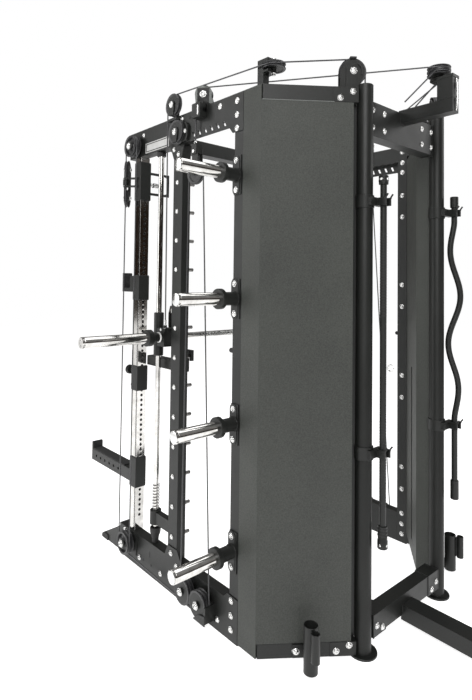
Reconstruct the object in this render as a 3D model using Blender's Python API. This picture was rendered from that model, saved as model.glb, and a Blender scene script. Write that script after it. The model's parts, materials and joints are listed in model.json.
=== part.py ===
"""Smith machine with a cable trainer, as separate sub-parts.

Metres, +Z up. The origin is on the floor, midway between the sides and midway along the depth.
The user faces -Y. Sub-parts ending in _r are on the +X side and those ending in _l mirror them.
"""

import math

import bmesh
import bpy
from mathutils import Matrix, Vector

# Driving dimensions.
HALF_WIDTH = 0.6366  # outer face of the side frames
TUBE = 0.050
PLATE = 0.004
GAP = 0.0004  # between pieces that touch
FRAME_TOP = 2.182
BASE_TOP = 0.155
TOP_BEAM_LOW = 2.048
BASE_FRONT_Y = -0.723
TOP_FRONT_Y = -0.693
COLUMN_Y = (0.143, 0.199)
UPRIGHT_Y = (-0.293, -0.222)
FOLD_Y = 0.300
POST_XY = Vector((0.2863, 0.530))
POST_R = 0.032
POST_TOP = 2.200
REAR_END_Y = 1.065
INNER_X = HALF_WIDTH - TUBE
BACK_X = HALF_WIDTH - PLATE - GAP  # outer face of what stands behind a side plate
SIDE_X = HALF_WIDTH - TUBE / 2

# Angled corner between the side frame and the rear post, seen from above.
FOLD_XY = Vector((HALF_WIDTH, FOLD_Y))
CORNER_ANGLE = math.radians(142.72)
ALONG = Vector((math.cos(CORNER_ANGLE), math.sin(CORNER_ANGLE)))
OUTWARD = Vector((ALONG.y, -ALONG.x))
CORNER_LENGTH = (POST_XY - FOLD_XY).dot(ALONG)
CORNER_BEAM = 0.040
CORNER_BEAM_TALL = 0.060
SHROUD = 0.003
SHROUD_REACH = CORNER_LENGTH - POST_R - 0.022
COVER_DEPTH = 0.1105

# Smith bar, its guides and its catches.
ROD_Y = -0.430
ROD_R = 0.0125
BAR_Y = -0.375
BAR_Z = 1.1445
BAR_R = 0.014
BAR_END_X = 1.040
PEG_Y = -0.262
PEG_TOP_Z = 1.8734
PEG_PITCH = 0.1355
PEG_COUNT = 13
PEG_R = 0.008
PEG_LENGTH = 0.050
CARRIAGE_Z = (1.051, 1.258)
CARRIAGE_R = 0.0235
ROD_CLEARANCE = 0.001
SPRING_R = 0.019
SPRING_Z = (0.3105, 0.436)
HOOK_REST_DEG = 60.0  # the catch hooks are turned this far clear of the pegs

# Weight storage horns.
HORN_Y = 0.159
HORN_TOP_Z = 1.8455
HORN_PITCH = 0.4989
HORN_COUNT = 4
HORN_LENGTH = 0.287
SLEEVE_R = 0.025

# Chrome front upright and what slides on it.
FRONT_X = 0.6066
FRONT_Y = -0.613
HOLE_R = 0.008
HOLE_PITCH = 0.050
HOLE_COUNT = 36
HOLE_FIRST_Z = 0.230
FACE_HOLE_R = 0.0062
FACE_HOLE_PITCH = 0.025
FACE_HOLE_COUNT = 71
COLLAR_HALF = 0.030
COLLAR_BORE = 0.0262

# Pulleys and cables.
PULLEY_X = 0.669
PULLEY_Y = -0.615
TOP_PULLEY_Z = 2.100
LOW_PULLEY_Z = 0.102
PULLEY_R = 0.055
CABLE_RUN_R = 0.052  # cable centre line on a pulley
CABLE_R = 0.003
AXLE_R = 0.0085
AXLE_BORE = 0.0092
LOOP_X = 0.676
STACK_LINE_X = 0.662
PIVOT_Y = PULLEY_Y - CABLE_RUN_R
SMALL_RUN_R = 0.045
HEAD_PULLEY_Z = (1.9955, 1.8455)
REAR_PULLEY = Vector((0.630, -0.072, 2.2345))
REAR_PULLEY_R = 0.038
REAR_RUN_R = 0.0345
BEAM_PULLEY = Vector((0.655, -0.268, 2.232))
BEAM_RUN_R = 0.0485
FLAT_PULLEY = Vector((0.566, 0.296, 2.268))
FLAT_RUN_R = 0.0435
POST_PULLEY = Vector((*(POST_XY - ALONG * CABLE_RUN_R), 2.252))
LAT_PULLEY = Vector((0.0, 0.690, 2.287))
LAT_RUN_R = 0.0432
REAR_ALONG = (LAT_PULLEY.xy - REAR_PULLEY.xy).normalized()  # level direction of the line to the lat pulley
REAR_AXIS = Vector((REAR_ALONG.y, -REAR_ALONG.x, 0.0))
HEAD_YAW = math.radians(41.0)

# Fixed pulleys: where they stand, and how far their axles reach along X.
LINE_PULLEY = Vector((0.655, -0.240, 2.100))
FLOATING_PULLEY = Vector((0.640, -0.108, 1.898))
BASE_PULLEYS = ((0.001, 0.085), (-0.110, 0.091))  # (y, z) of the two on the floor beam
BASE_PULLEY_WIDTH = 0.032
THIN_PULLEY_WIDTH = 0.018
AXLE_X = (0.620, 0.692)
BOSS_R = 0.012

# Slanted openings in the plate of the top beam.
VENT_COUNT = 7
VENT_FIRST_Y = -0.180
VENT_PITCH = 0.043
VENT_LENGTH = 0.013
VENT_SLANT = -0.010
VENT_Z = (2.062, 2.085)
SHALLOW_TUBE_Z = 2.098  # underside of the top beam's tube behind the openings

# Weight stack, inside the corner, and the sockets outside it.
BAR_SOCKETS = (  # x, y, radius, foot, floor of the bore, top
    (0.5262, 0.4752, 0.0265, 0.006, 0.030, 0.175),
    (0.5478, 0.5152, 0.0160, 0.070, 0.085, 0.172),
)
SOCKET_WALL = 0.003
STACK_XY = FOLD_XY + ALONG * 0.190 - OUTWARD * 0.060
STACK_SIZE = (0.280, 0.088)
STACK_Z = (0.110, 0.930)
STACK_ROD_SPREAD = 0.095
STACK_ROD_R = 0.010
HEAD_PLATE_TALL = 0.042

# Stored bars, behind the posts.
STORED_BAR_R = 0.0125
STRAIGHT_XY = (0.243, 0.588)
CURL_XY = (-0.333, 0.592)
STRAIGHT_FORKS = (1.735, 0.760)
CURL_FORKS = (1.745, 0.770)

ROUND = 8  # sides of a small round piece
SMOOTH_ROUND = 14
WHEEL_SIDES = 16
CABLE_BED = 0.0476  # radius of a pulley at the bottom of its groove

COLOURS = {
    "frame": ((0.030, 0.031, 0.030), 0.55, 0.0),
    "panel": ((0.075, 0.078, 0.074), 0.60, 0.0),
    "chrome": ((0.80, 0.79, 0.77), 0.12, 1.0),
    "steel": ((0.55, 0.55, 0.54), 0.35, 1.0),
    "rubber": ((0.015, 0.015, 0.015), 0.80, 0.0),
    "pulley": ((0.022, 0.022, 0.023), 0.45, 0.0),
    "iron": ((0.045, 0.046, 0.046), 0.65, 0.0),
    "cable": ((0.030, 0.030, 0.032), 0.40, 0.0),
}


def clear_scene():
    for obj in list(bpy.data.objects):
        bpy.data.objects.remove(obj)


def make_material(name):
    colour, roughness, metallic = COLOURS[name]
    material = bpy.data.materials.new(name)
    material.use_nodes = True
    shader = material.node_tree.nodes["Principled BSDF"]
    shader.inputs["Base Color"].default_value = (*colour, 1.0)
    shader.inputs["Roughness"].default_value = roughness
    shader.inputs["Metallic"].default_value = metallic
    return material


def add_object(name, mesh):
    obj = bpy.data.objects.new(name, mesh)
    bpy.context.scene.collection.objects.link(obj)
    return obj


def from_bmesh(bm, name="piece"):
    bmesh.ops.recalc_face_normals(bm, faces=bm.faces)
    mesh = bpy.data.meshes.new(name)
    bm.to_mesh(mesh)
    bm.free()
    return add_object(name, mesh)


def box(x, y, z):
    """A box from three (low, high) pairs."""
    bm = bmesh.new()
    size = (x[1] - x[0], y[1] - y[0], z[1] - z[0])
    middle = ((x[0] + x[1]) / 2, (y[0] + y[1]) / 2, (z[0] + z[1]) / 2)
    bmesh.ops.create_cube(bm, size=1.0, matrix=Matrix.Translation(middle) @ Matrix.Diagonal((*size, 1.0)))
    return from_bmesh(bm)


def prism(outline, axis, low, high):
    """An outline of (a, b) points, extruded from low to high along x, y or z."""
    place = {
        "x": lambda a, b, c: (c, a, b),
        "y": lambda a, b, c: (a, c, b),
        "z": lambda a, b, c: (a, b, c),
    }[axis]
    bm = bmesh.new()
    face = bm.faces.new([bm.verts.new(place(a, b, low)) for a, b in outline])
    top = bmesh.ops.extrude_face_region(bm, geom=[face])
    moved = [v for v in top["geom"] if isinstance(v, bmesh.types.BMVert)]
    bmesh.ops.translate(bm, verts=moved, vec=place(0.0, 0.0, high - low))
    return from_bmesh(bm)


def slab(origin, direction, along, across, z):
    """An upright box set square to a level direction: distances along it and to its right, from origin."""
    beside = Vector((direction.y, -direction.x))
    corners = ((along[0], across[0]), (along[1], across[0]), (along[1], across[1]), (along[0], across[1]))
    return prism([tuple(origin + direction * a + beside * c) for a, c in corners], "z", *z)


def corner_box(along, outward, z):
    """A box square to the angled corner, measured from the fold along and outward of its outer face."""
    return slab(FOLD_XY, ALONG, along, outward, z)


def turned(profile, start, direction, sides=ROUND, hollow=False):
    """A solid of revolution: (distance along direction from start, radius) pairs.

    Its ends are flat discs, unless it is hollow: then the profile closes on itself.
    """
    direction = Vector(direction).normalized()
    across = direction.orthogonal().normalized()
    up = direction.cross(across)
    start = Vector(start)
    bm = bmesh.new()
    rings = []
    for distance, radius in profile:
        centre = start + direction * distance
        turns = [2.0 * math.pi * step / sides for step in range(sides)]
        rings.append([bm.verts.new(centre + (across * math.cos(t) + up * math.sin(t)) * radius) for t in turns])
    if hollow:
        rings.append(rings[0])
    else:
        bm.faces.new(rings[0])
        bm.faces.new(rings[-1])
    for first, second in zip(rings, rings[1:]):
        for step in range(sides):
            after = (step + 1) % sides
            bm.faces.new((first[step], first[after], second[after], second[step]))
    return from_bmesh(bm)


def rod(start, end, radius, sides=ROUND):
    length = (Vector(end) - Vector(start)).length
    return turned([(0.0, radius), (length, radius)], start, Vector(end) - Vector(start), sides)


def arc(centre, radius, start_deg, end_deg, steps):
    """Points on an arc in a plane, as (a, b) pairs."""
    points = []
    for step in range(steps + 1):
        turn = math.radians(start_deg + (end_deg - start_deg) * step / steps)
        points.append((centre[0] + radius * math.cos(turn), centre[1] + radius * math.sin(turn)))
    return points


def cable(points, closed=False, radius=CABLE_R):
    """A cable along points, six-sided, with its ends capped."""
    curve = bpy.data.curves.new("cable", "CURVE")
    curve.dimensions = "3D"
    curve.bevel_depth = radius
    curve.bevel_resolution = 1
    curve.use_fill_caps = True
    spline = curve.splines.new("POLY")
    spline.points.add(len(points) - 1)
    for item, point in zip(spline.points, points):
        item.co = (*point, 1.0)
    spline.use_cyclic_u = closed
    guide = add_object("guide", curve)
    bm = bmesh.new()
    bm.from_mesh(evaluated_mesh(guide))
    bpy.data.objects.remove(guide)
    bmesh.ops.remove_doubles(bm, verts=bm.verts, dist=1e-6)
    return from_bmesh(bm)


def evaluated_mesh(obj):
    bpy.context.view_layer.update()
    return bpy.data.meshes.new_from_object(obj.evaluated_get(bpy.context.evaluated_depsgraph_get()))


def combine(body, others, operation):
    """Applies a Boolean of body with each of the others, which are used up."""
    for other in others:
        modifier = body.modifiers.new("combine", "BOOLEAN")
        modifier.operation = operation
        modifier.solver = "EXACT"
        modifier.object = other
        mesh = evaluated_mesh(body)
        body.modifiers.clear()
        body.data = mesh
        bpy.data.objects.remove(other)
    return body


def fuse(pieces, cuts=()):
    """One body from overlapping pieces, less the cuts."""
    body = combine(pieces[0], pieces[1:], "UNION")
    return combine(body, cuts, "DIFFERENCE")


def finish(body, name, material, pivot=(0.0, 0.0, 0.0)):
    """Names a sub-part, gives it its material, smooths its round faces and sets its origin on its joint."""
    body.name = name
    mesh = body.data
    mesh.name = name
    mesh.materials.clear()
    mesh.materials.append(MATERIALS[material])
    mesh.transform(Matrix.Translation(-Vector(pivot)))
    body.location = pivot
    mesh.shade_smooth()
    mesh.set_sharp_from_angle(angle=math.radians(35.0))
    return body


def finish_pair(body, name, material, pivot=(0.0, 0.0, 0.0)):
    """Makes the right-hand sub-part from body, and its mirror image on the left."""
    finish(body, name + "_r", material, pivot)
    mirrored = body.data.copy()
    mirrored.transform(Matrix.Diagonal((-1.0, 1.0, 1.0, 1.0)))
    mirrored.flip_normals()
    mirrored.name = name + "_l"
    other = add_object(name + "_l", mirrored)
    other.location = (-pivot[0], pivot[1], pivot[2])
    return body


def sheave(centre, axis, grooves, radius=PULLEY_R):
    """A free pulley wheel with V grooves and a bore for its axle."""
    half = 0.009 * grooves
    pitch = 0.014
    bed = radius - PULLEY_R + CABLE_BED
    edges = [(-half, AXLE_BORE), (-half, radius)]
    for index in range(grooves):
        middle = (index - (grooves - 1) / 2) * pitch
        edges += [(middle - 0.0046, radius), (middle - 0.0034, bed)]
        edges += [(middle + 0.0034, bed), (middle + 0.0046, radius)]
    edges += [(half, radius), (half, AXLE_BORE)]
    return turned(edges, centre, axis, WHEEL_SIDES, hollow=True)


def disc(centre, axis, width, radius=CABLE_BED):
    """A fixed pulley, drawn as a plain disc up to the bed that its cable lies on."""
    axis = Vector(axis)
    return rod(Vector(centre) - axis * width / 2, Vector(centre) + axis * width / 2, radius, SMOOTH_ROUND)


def side_plate(outline):
    return prism(outline, "x", HALF_WIDTH - PLATE, HALF_WIDTH)


def base_beams():
    """Floor beam of each side, with its outer plate and the pulleys fixed to it."""
    gusset_top = 0.205
    outline = [
        (BASE_FRONT_Y, 0.0),
        (COLUMN_Y[1] - 0.002, 0.0),
        (COLUMN_Y[1] - 0.002, 0.172),
        (0.135, 0.176),
        (0.112, BASE_TOP),
        (-0.180, BASE_TOP),
        (-0.215, gusset_top),
        (-0.288, gusset_top),
        (-0.312, BASE_TOP),
        (BASE_FRONT_Y, BASE_TOP),
    ]
    tube = box((INNER_X, HALF_WIDTH - PLATE / 2), (BASE_FRONT_Y, COLUMN_Y[0] - GAP), (0.0, BASE_TOP))
    toe = prism([(-0.930, 0.0), (-0.700, 0.0), (-0.700, 0.120), (-0.770, 0.112), (-0.912, 0.034)], "x", 0.600, 0.625)
    pieces = [
        tube,
        side_plate(outline),
        toe,
        rod((AXLE_X[0], PULLEY_Y, LOW_PULLEY_Z), (AXLE_X[1], PULLEY_Y, LOW_PULLEY_Z), AXLE_R),
    ]
    for y, z in BASE_PULLEYS:
        pieces.append(disc((PULLEY_X, y, z), (1, 0, 0), BASE_PULLEY_WIDTH))
        pieces.append(rod((AXLE_X[0], y, z), (AXLE_X[1], y, z), BOSS_R))
    return finish_pair(fuse(pieces), "base_beam", "frame")


def top_beams():
    """Top beam of each side, with its outer plate and the two Smith line pulleys fixed to it."""
    outline = [
        (TOP_FRONT_Y, TOP_BEAM_LOW),
        (-0.318, TOP_BEAM_LOW),
        (-0.288, 1.985),
        (-0.226, 1.985),
        (-0.205, TOP_BEAM_LOW),
        (0.112, TOP_BEAM_LOW),
        (0.132, 2.024),
        (COLUMN_Y[1] - 0.002, 2.024),
        (COLUMN_Y[1] - 0.002, FRAME_TOP),
        (TOP_FRONT_Y, FRAME_TOP),
    ]
    tube_x = (INNER_X, HALF_WIDTH - PLATE / 2)
    pieces = [
        box(tube_x, (TOP_FRONT_Y, -0.200), (TOP_BEAM_LOW, FRAME_TOP)),
        box(tube_x, (-0.201, COLUMN_Y[0] - GAP), (SHALLOW_TUBE_Z, FRAME_TOP)),
        side_plate(outline),
        rod((AXLE_X[0], PULLEY_Y, TOP_PULLEY_Z), (AXLE_X[1], PULLEY_Y, TOP_PULLEY_Z), AXLE_R),
        disc(LINE_PULLEY, (1, 0, 0), THIN_PULLEY_WIDTH),
        rod((AXLE_X[0], *LINE_PULLEY.yz), (0.672, *LINE_PULLEY.yz), BOSS_R),
        disc(BEAM_PULLEY, (1, 0, 0), THIN_PULLEY_WIDTH, BEAM_RUN_R - 0.0035),
        box((0.634, 0.640), (-0.285, -0.251), (2.150, 2.240)),
        rod((0.636, *BEAM_PULLEY.yz), (0.672, *BEAM_PULLEY.yz), BOSS_R),
        box((0.620, 0.658), (-0.090, -0.040), (2.150, 2.194)),
        slab(REAR_PULLEY.xy, REAR_ALONG, (-0.026, 0.026), (-0.0165, -0.0125), (2.170, 2.262)),
        slab(REAR_PULLEY.xy, REAR_ALONG, (-0.026, 0.026), (0.0125, 0.0165), (2.170, 2.262)),
        rod(REAR_PULLEY - REAR_AXIS * 0.018, REAR_PULLEY + REAR_AXIS * 0.018, AXLE_R),
    ]
    return finish_pair(fuse(pieces, vents()), "top_beam", "frame")


def vents():
    """Cutters for the row of slanted openings in the top beam's plate."""
    found = []
    low, high = VENT_Z
    for index in range(VENT_COUNT):
        y = VENT_FIRST_Y + index * VENT_PITCH
        leaning = [(y, low), (y + VENT_LENGTH, low), (y + VENT_LENGTH + VENT_SLANT, high), (y + VENT_SLANT, high)]
        found.append(prism(leaning, "x", HALF_WIDTH - PLATE - 0.01, HALF_WIDTH + 0.01))
    return found


def front_uprights():
    """Chromed square tube, drawn solid: holes from front to rear, and pockets for the pin on its inner face."""
    half = TUBE / 2
    z = (BASE_TOP + GAP, TOP_BEAM_LOW - GAP)
    body = box((FRONT_X - half, FRONT_X + half), (FRONT_Y - half, FRONT_Y + half), z)
    holes = []
    for index in range(FACE_HOLE_COUNT):
        height = HOLE_FIRST_Z + index * FACE_HOLE_PITCH
        holes.append(rod((FRONT_X, FRONT_Y - 0.03, height), (FRONT_X, FRONT_Y + 0.03, height), FACE_HOLE_R, 6))
    for index in range(HOLE_COUNT):
        height = HOLE_FIRST_Z + index * HOLE_PITCH
        holes.append(rod((FRONT_X - 0.03, FRONT_Y, height), (FRONT_X - 0.014, FRONT_Y, height), HOLE_R, 6))
    return finish_pair(fuse([body], holes), "front_upright", "chrome")


def smith_uprights():
    """Upright that carries the catch pegs, with the arm that steadies the guide rod."""
    pieces = [box((INNER_X, BACK_X), UPRIGHT_Y, (BASE_TOP + GAP, TOP_BEAM_LOW - GAP))]
    for index in range(PEG_COUNT):
        height = PEG_TOP_Z - index * PEG_PITCH
        pieces.append(rod((INNER_X - PEG_LENGTH, PEG_Y, height), (INNER_X + 0.01, PEG_Y, height), PEG_R))
    pieces.append(box((0.5966, 0.6266), (ROD_Y + 0.020, UPRIGHT_Y[0] + 0.01), (0.250, 0.305)))
    pieces.append(rod((SIDE_X, ROD_Y, 0.245), (SIDE_X, ROD_Y, 0.310), 0.027, SMOOTH_ROUND))
    bore = rod((SIDE_X, ROD_Y, 0.20), (SIDE_X, ROD_Y, 0.35), ROD_R + ROD_CLEARANCE)
    return finish_pair(fuse(pieces, [bore]), "smith_upright", "frame")


def guide_rods():
    """Chromed rod that guides the Smith carriage, standing in a rubber cup, with its bumper spring."""
    low = BASE_TOP + GAP
    high = TOP_BEAM_LOW - GAP
    profile = [
        (0.0, 0.018),
        (0.030, 0.020),
        (0.045, 0.026),
        (0.072, 0.026),
        (0.072, ROD_R),
        (SPRING_Z[0] - low, ROD_R),
        (SPRING_Z[0] - low, SPRING_R),
        (SPRING_Z[1] - low, SPRING_R),
        (SPRING_Z[1] - low, ROD_R),
        (high - low, ROD_R),
    ]
    body = turned(profile, (SIDE_X, ROD_Y, low), (0, 0, 1))
    return finish_pair(body, "guide_rod", "chrome")


def horn(height):
    """Flange plate, sleeve, collar and chromed horn for storing weight plates."""
    start = HALF_WIDTH - PLATE - GAP - 0.010
    out = HALF_WIDTH - start
    profile = [
        (0.0, SLEEVE_R),
        (out + 0.070, SLEEVE_R),
        (out + 0.070, 0.040),
        (out + 0.090, 0.040),
        (out + 0.090, SLEEVE_R),
        (out + HORN_LENGTH, SLEEVE_R),
    ]
    flange = box((BACK_X - 0.003, HALF_WIDTH), (COLUMN_Y[0] + 0.001, 0.186), (height - 0.080, height + 0.080))
    return [turned(profile, (start, HORN_Y, height), (1, 0, 0), 10), flange]


def stack_frames():
    """Rear column with its storage horns, the angled beams to the post and the corner pulleys."""
    beam_end = CORNER_LENGTH - POST_R - 0.002
    low_z = (0.0075, CORNER_BEAM_TALL)
    high_z = (FRAME_TOP - CORNER_BEAM_TALL, FRAME_TOP)
    pieces = [box((INNER_X, BACK_X), COLUMN_Y, (0.0, FRAME_TOP))]
    for index in range(HORN_COUNT):
        pieces += horn(HORN_TOP_Z - index * HORN_PITCH)
    for z in (low_z, high_z):
        pieces.append(box((INNER_X + 0.001, BACK_X - 0.001), (COLUMN_Y[1] - 0.010, FOLD_Y - 0.002), z))
        pieces.append(corner_box((0.006, beam_end), (-CORNER_BEAM, 0.0), z))
    pieces += corner_top_pulleys(high_z[1])
    return finish_pair(fuse(pieces), "stack_frame", "frame")


def bar_sockets():
    """Two upright cups on a bracket, outside the low corner beam, each holding the end of a bar."""
    wide, narrow = (Vector(socket[:2]) for socket in BAR_SOCKETS)
    along = (wide - FOLD_XY).dot(ALONG)
    reach = (wide - FOLD_XY).dot(OUTWARD) - BAR_SOCKETS[0][2] + 0.001
    pieces = [
        corner_box((along - 0.055, along + 0.020), (GAP, 0.0044), (0.010, 0.058)),
        corner_box((along - 0.004, along + 0.004), (0.004, reach), (0.012, 0.056)),
        slab(wide, (narrow - wide).normalized(), (0.0245, 0.0320), (-0.004, 0.004), (0.075, 0.165)),
    ]
    for x, y, radius, foot, floor, top in BAR_SOCKETS:
        bore = radius - SOCKET_WALL
        profile = [(0.0, radius), (top - foot, radius), (top - foot, bore), (floor - foot, bore)]
        pieces.append(turned(profile, (x, y, foot), (0, 0, 1), 12))
    return finish_pair(fuse(pieces), "bar_socket", "frame")


def corner_top_pulleys(top):
    """Flat pulley on a short post at the corner, and the upright pulley by the rear post."""
    post_x = (0.572, 0.604)
    post_y = (0.243, 0.275)
    flat_z = FLAT_PULLEY.z
    axis = Vector((*OUTWARD, 0.0))
    return [
        box(post_x, post_y, (top - 0.02, flat_z + 0.027)),
        disc(FLAT_PULLEY, (0, 0, 1), THIN_PULLEY_WIDTH, FLAT_RUN_R - 0.0035),
        box((0.555, 0.6035), (0.250, 0.300), (flat_z - 0.026, flat_z - 0.017)),
        box((0.555, 0.6035), (0.250, 0.300), (flat_z + 0.017, flat_z + 0.028)),
        rod(FLAT_PULLEY - Vector((0, 0, 0.022)), FLAT_PULLEY + Vector((0, 0, 0.024)), 0.010),
        disc(POST_PULLEY, axis, THIN_PULLEY_WIDTH),
        rod(POST_PULLEY - axis * 0.020, POST_PULLEY + axis * 0.020, 0.010),
        post_cheek(-0.016, top - 0.03),
        post_cheek(0.012, top - 0.03),
    ]


def post_cheek(offset, bottom):
    """Cheek plate of the upright corner pulley, square to the corner, from the beam up to the axle."""
    z = (bottom, POST_PULLEY.z + 0.020)
    return slab(POST_PULLEY.xy, ALONG, (-0.030, 0.012), (offset, offset + 0.005), z)


def outer_shrouds():
    """Bent sheet that closes the outside of each corner."""
    inner = HALF_WIDTH - SHROUD
    side = box((inner, HALF_WIDTH), (COLUMN_Y[1] + GAP, FOLD_Y), (0.0075, FRAME_TOP))
    reach = (-0.0005, SHROUD_REACH)
    z = (CORNER_BEAM_TALL + 0.001, FRAME_TOP - CORNER_BEAM_TALL - 0.001)
    angled = corner_box(reach, (-SHROUD, 0.0), z)
    return finish_pair(fuse([side, angled]), "outer_shroud", "panel")


def inner_covers():
    """Bent sheet on the user's side of each stack, slotted for the selector pin."""
    z = (0.066, 2.100)
    end_x = 0.285
    base_x = HALF_WIDTH - OUTWARD.x * COVER_DEPTH
    start = (base_x - INNER_X + 0.003) / -ALONG.x
    stop = (base_x - end_x) / -ALONG.x
    angled = corner_box((start, stop), (-COVER_DEPTH, SHROUD - COVER_DEPTH), z)
    corner = FOLD_XY + ALONG * stop - OUTWARD * COVER_DEPTH
    wall = box((end_x, end_x + SHROUD), (corner.y - 0.0005, POST_XY.y - POST_R - 0.004), z)
    bridge = box((end_x, corner.x + 0.004), (corner.y - 0.001, corner.y + 0.0035), z)
    middle = (STACK_XY - FOLD_XY).dot(ALONG)
    slot = corner_box((middle - 0.016, middle + 0.016), (-COVER_DEPTH - 0.02, 0.02 - COVER_DEPTH), (0.130, 0.990))
    return finish_pair(fuse([angled, bridge, wall], [slot]), "inner_cover", "panel")


def storage_fork(bar_xy, height):
    """Two prongs on a clamp around the post, open towards the rear, holding a stored bar."""
    gap = STORED_BAR_R + 0.0015
    thick = 0.006
    z = (height - 0.016, height + 0.016)
    x = bar_xy[0]
    web_y = (POST_XY.y + 0.025, bar_xy[1] - gap)
    left = min(x - gap - thick, POST_XY.x - 0.020)
    right = max(x + gap + thick, POST_XY.x + 0.020)
    return [
        rod((*POST_XY, height - 0.024), (*POST_XY, height + 0.024), POST_R + 0.004, 12),
        box((left, right), web_y, z),
        box((x - gap - thick, x - gap), (web_y[1] - 0.005, bar_xy[1] + 0.022), z),
        box((x + gap, x + gap + thick), (web_y[1] - 0.005, bar_xy[1] + 0.022), z),
    ]


def rear_posts():
    """Round rear posts with floor discs and the forks that hold the stored bars."""
    for name, bar_xy, heights, side in (
        ("rear_post_r", STRAIGHT_XY, STRAIGHT_FORKS, 1.0),
        ("rear_post_l", CURL_XY, CURL_FORKS, -1.0),
    ):
        profile = [
            (0.0, 0.055),
            (0.007, 0.055),
            (0.007, POST_R),
            (POST_TOP, POST_R),
        ]
        pieces = [turned(profile, (*POST_XY, 0.0), (0, 0, 1), 16)]
        for height in heights:
            pieces += storage_fork((bar_xy[0] * side, bar_xy[1]), height)
        body = fuse(pieces)
        if side < 0.0:
            body.data.transform(Matrix.Diagonal((-1.0, 1.0, 1.0, 1.0)))
            body.data.flip_normals()
        finish(body, name, "frame")


def rear_base_frame():
    """Beam between the rear posts, its end sleeves, and the long rear leg on its foot."""
    end = POST_XY.x - POST_R - 0.0012
    pieces = [box((-end, end), (0.493, 0.553), (0.050, 0.130))]
    for side in (-1.0, 1.0):
        x = sorted((side * 0.165, side * end))
        pieces.append(box(x, (0.490, 0.556), (0.047, 0.133)))
    pieces.append(box((-0.040, 0.040), (0.545, REAR_END_Y), (0.028, 0.090)))
    pieces.append(box((-0.038, 0.038), (REAR_END_Y - 0.090, REAR_END_Y - 0.004), (0.0, 0.040)))
    return finish(fuse(pieces), "rear_base_frame", "frame")


def rear_top_frame():
    """Beam between the tops of the rear posts, and the arm that carries the lat pulley."""
    end = POST_XY.x - POST_R - 0.0012
    pieces = [
        box((-end, end), (0.470, 0.530), (2.010, 2.150)),
        box((-0.025, 0.025), (0.520, 0.760), (2.104, 2.160)),
        box((-0.025, 0.025), (0.694, 0.760), (2.120, 2.250)),
        box((-0.020, 0.020), (0.660, 0.760), (2.245, 2.256)),
        disc(LAT_PULLEY, (0, 0, 1), 0.034, LAT_RUN_R - 0.0034),
        rod(LAT_PULLEY - Vector((0, 0, 0.035)), LAT_PULLEY + Vector((0, 0, 0.023)), 0.010),
    ]
    return finish(fuse(pieces), "rear_top_frame", "frame")


def front_crossbeam():
    """Beam that ties the two top beams together, just behind the front uprights."""
    end = INNER_X - GAP
    body = box((-end, end), (-0.584, -0.512), (2.104, 2.176))
    return finish(body, "front_crossbeam", "frame")


def stack_point(along, outward):
    point = STACK_XY + ALONG * along + OUTWARD * outward
    return (point.x, point.y)


def stack_block(z):
    half_long = STACK_SIZE[0] / 2
    half_thick = STACK_SIZE[1] / 2
    outline = [
        stack_point(-half_long, -half_thick),
        stack_point(half_long, -half_thick),
        stack_point(half_long, half_thick),
        stack_point(-half_long, half_thick),
    ]
    return prism(outline, "z", *z)


def weight_stacks():
    """The resting plates, drawn as one block, on their two guide rods."""
    pieces = [stack_block(STACK_Z)]
    for along in (-STACK_ROD_SPREAD, STACK_ROD_SPREAD):
        x, y = stack_point(along, 0.0)
        pieces.append(rod((x, y, 0.012), (x, y, 2.110), STACK_ROD_R))
        pieces.append(rod((x, y, 0.062), (x, y, 0.115), 0.022))
    return finish_pair(fuse(pieces), "weight_stack", "iron")


def stack_heads():
    """Top plate of the stack, which the cable lifts, with its eye bolt."""
    bottom = STACK_Z[1] + 0.0005
    top = bottom + HEAD_PLATE_TALL
    x, y = stack_point(0.0, 0.0)
    pieces = [stack_block((bottom, top)), rod((x, y, top - 0.01), (x, y, top + 0.060), 0.012)]
    cuts = []
    for along in (-STACK_ROD_SPREAD, STACK_ROD_SPREAD):
        hole_x, hole_y = stack_point(along, 0.0)
        cuts.append(rod((hole_x, hole_y, bottom - 0.01), (hole_x, hole_y, top + 0.01), STACK_ROD_R + 0.002))
    return finish_pair(fuse(pieces, cuts), "stack_head", "iron", (x, y, bottom))


def hook_plate(x_low, x_high):
    """Catch hook in polar steps about the bar; its mouth follows the arc that it swings on."""
    reach = Vector((PEG_Y - BAR_Y, PEG_TOP_Z - 5 * PEG_PITCH - BAR_Z))
    peg_deg = math.degrees(math.atan2(reach.y, reach.x)) + HOOK_REST_DEG
    inner = reach.length - PEG_R - 0.002
    outer = reach.length + PEG_R + 0.002
    shape = [
        (0.014, -50.0),
        (0.095, -7.0),
        (inner, -7.0),
        (inner, 4.4),
        (outer, 4.4),
        (outer, -6.0),
        (outer + 0.014, -6.0),
        (outer + 0.014, 8.0),
        (inner, 16.0),
        (0.060, 26.0),
        (0.014, 75.0),
    ]
    outline = []
    for radius, offset in shape:
        turn = math.radians(peg_deg + offset)
        outline.append((BAR_Y + radius * math.cos(turn), BAR_Z + radius * math.sin(turn)))
    return prism(outline, "x", x_low, x_high)


def smith_bar():
    """Bar with its two catch hooks, in one turning piece."""
    spindle = BAR_END_X - 0.012
    neck = 0.690 - GAP
    profile = [
        (-spindle, 0.0125),
        (-neck, 0.0125),
        (-neck, 0.020),
        (-0.640, 0.020),
        (-0.640, BAR_R),
        (0.640, BAR_R),
        (0.640, 0.020),
        (neck, 0.020),
        (neck, 0.0125),
        (spindle, 0.0125),
    ]
    pieces = [turned(profile, (0.0, BAR_Y, BAR_Z), (1, 0, 0), 16)]
    for side in (-1.0, 1.0):
        hub = sorted((side * 0.5680, side * 0.5850))
        pieces.append(rod((hub[0], BAR_Y, BAR_Z), (hub[1], BAR_Y, BAR_Z), 0.021, 16))
        plate = sorted((side * 0.5725, side * 0.5805))
        pieces.append(hook_plate(*plate))
    return finish(fuse(pieces), "smith_bar", "chrome", (0.0, BAR_Y, BAR_Z))


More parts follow.
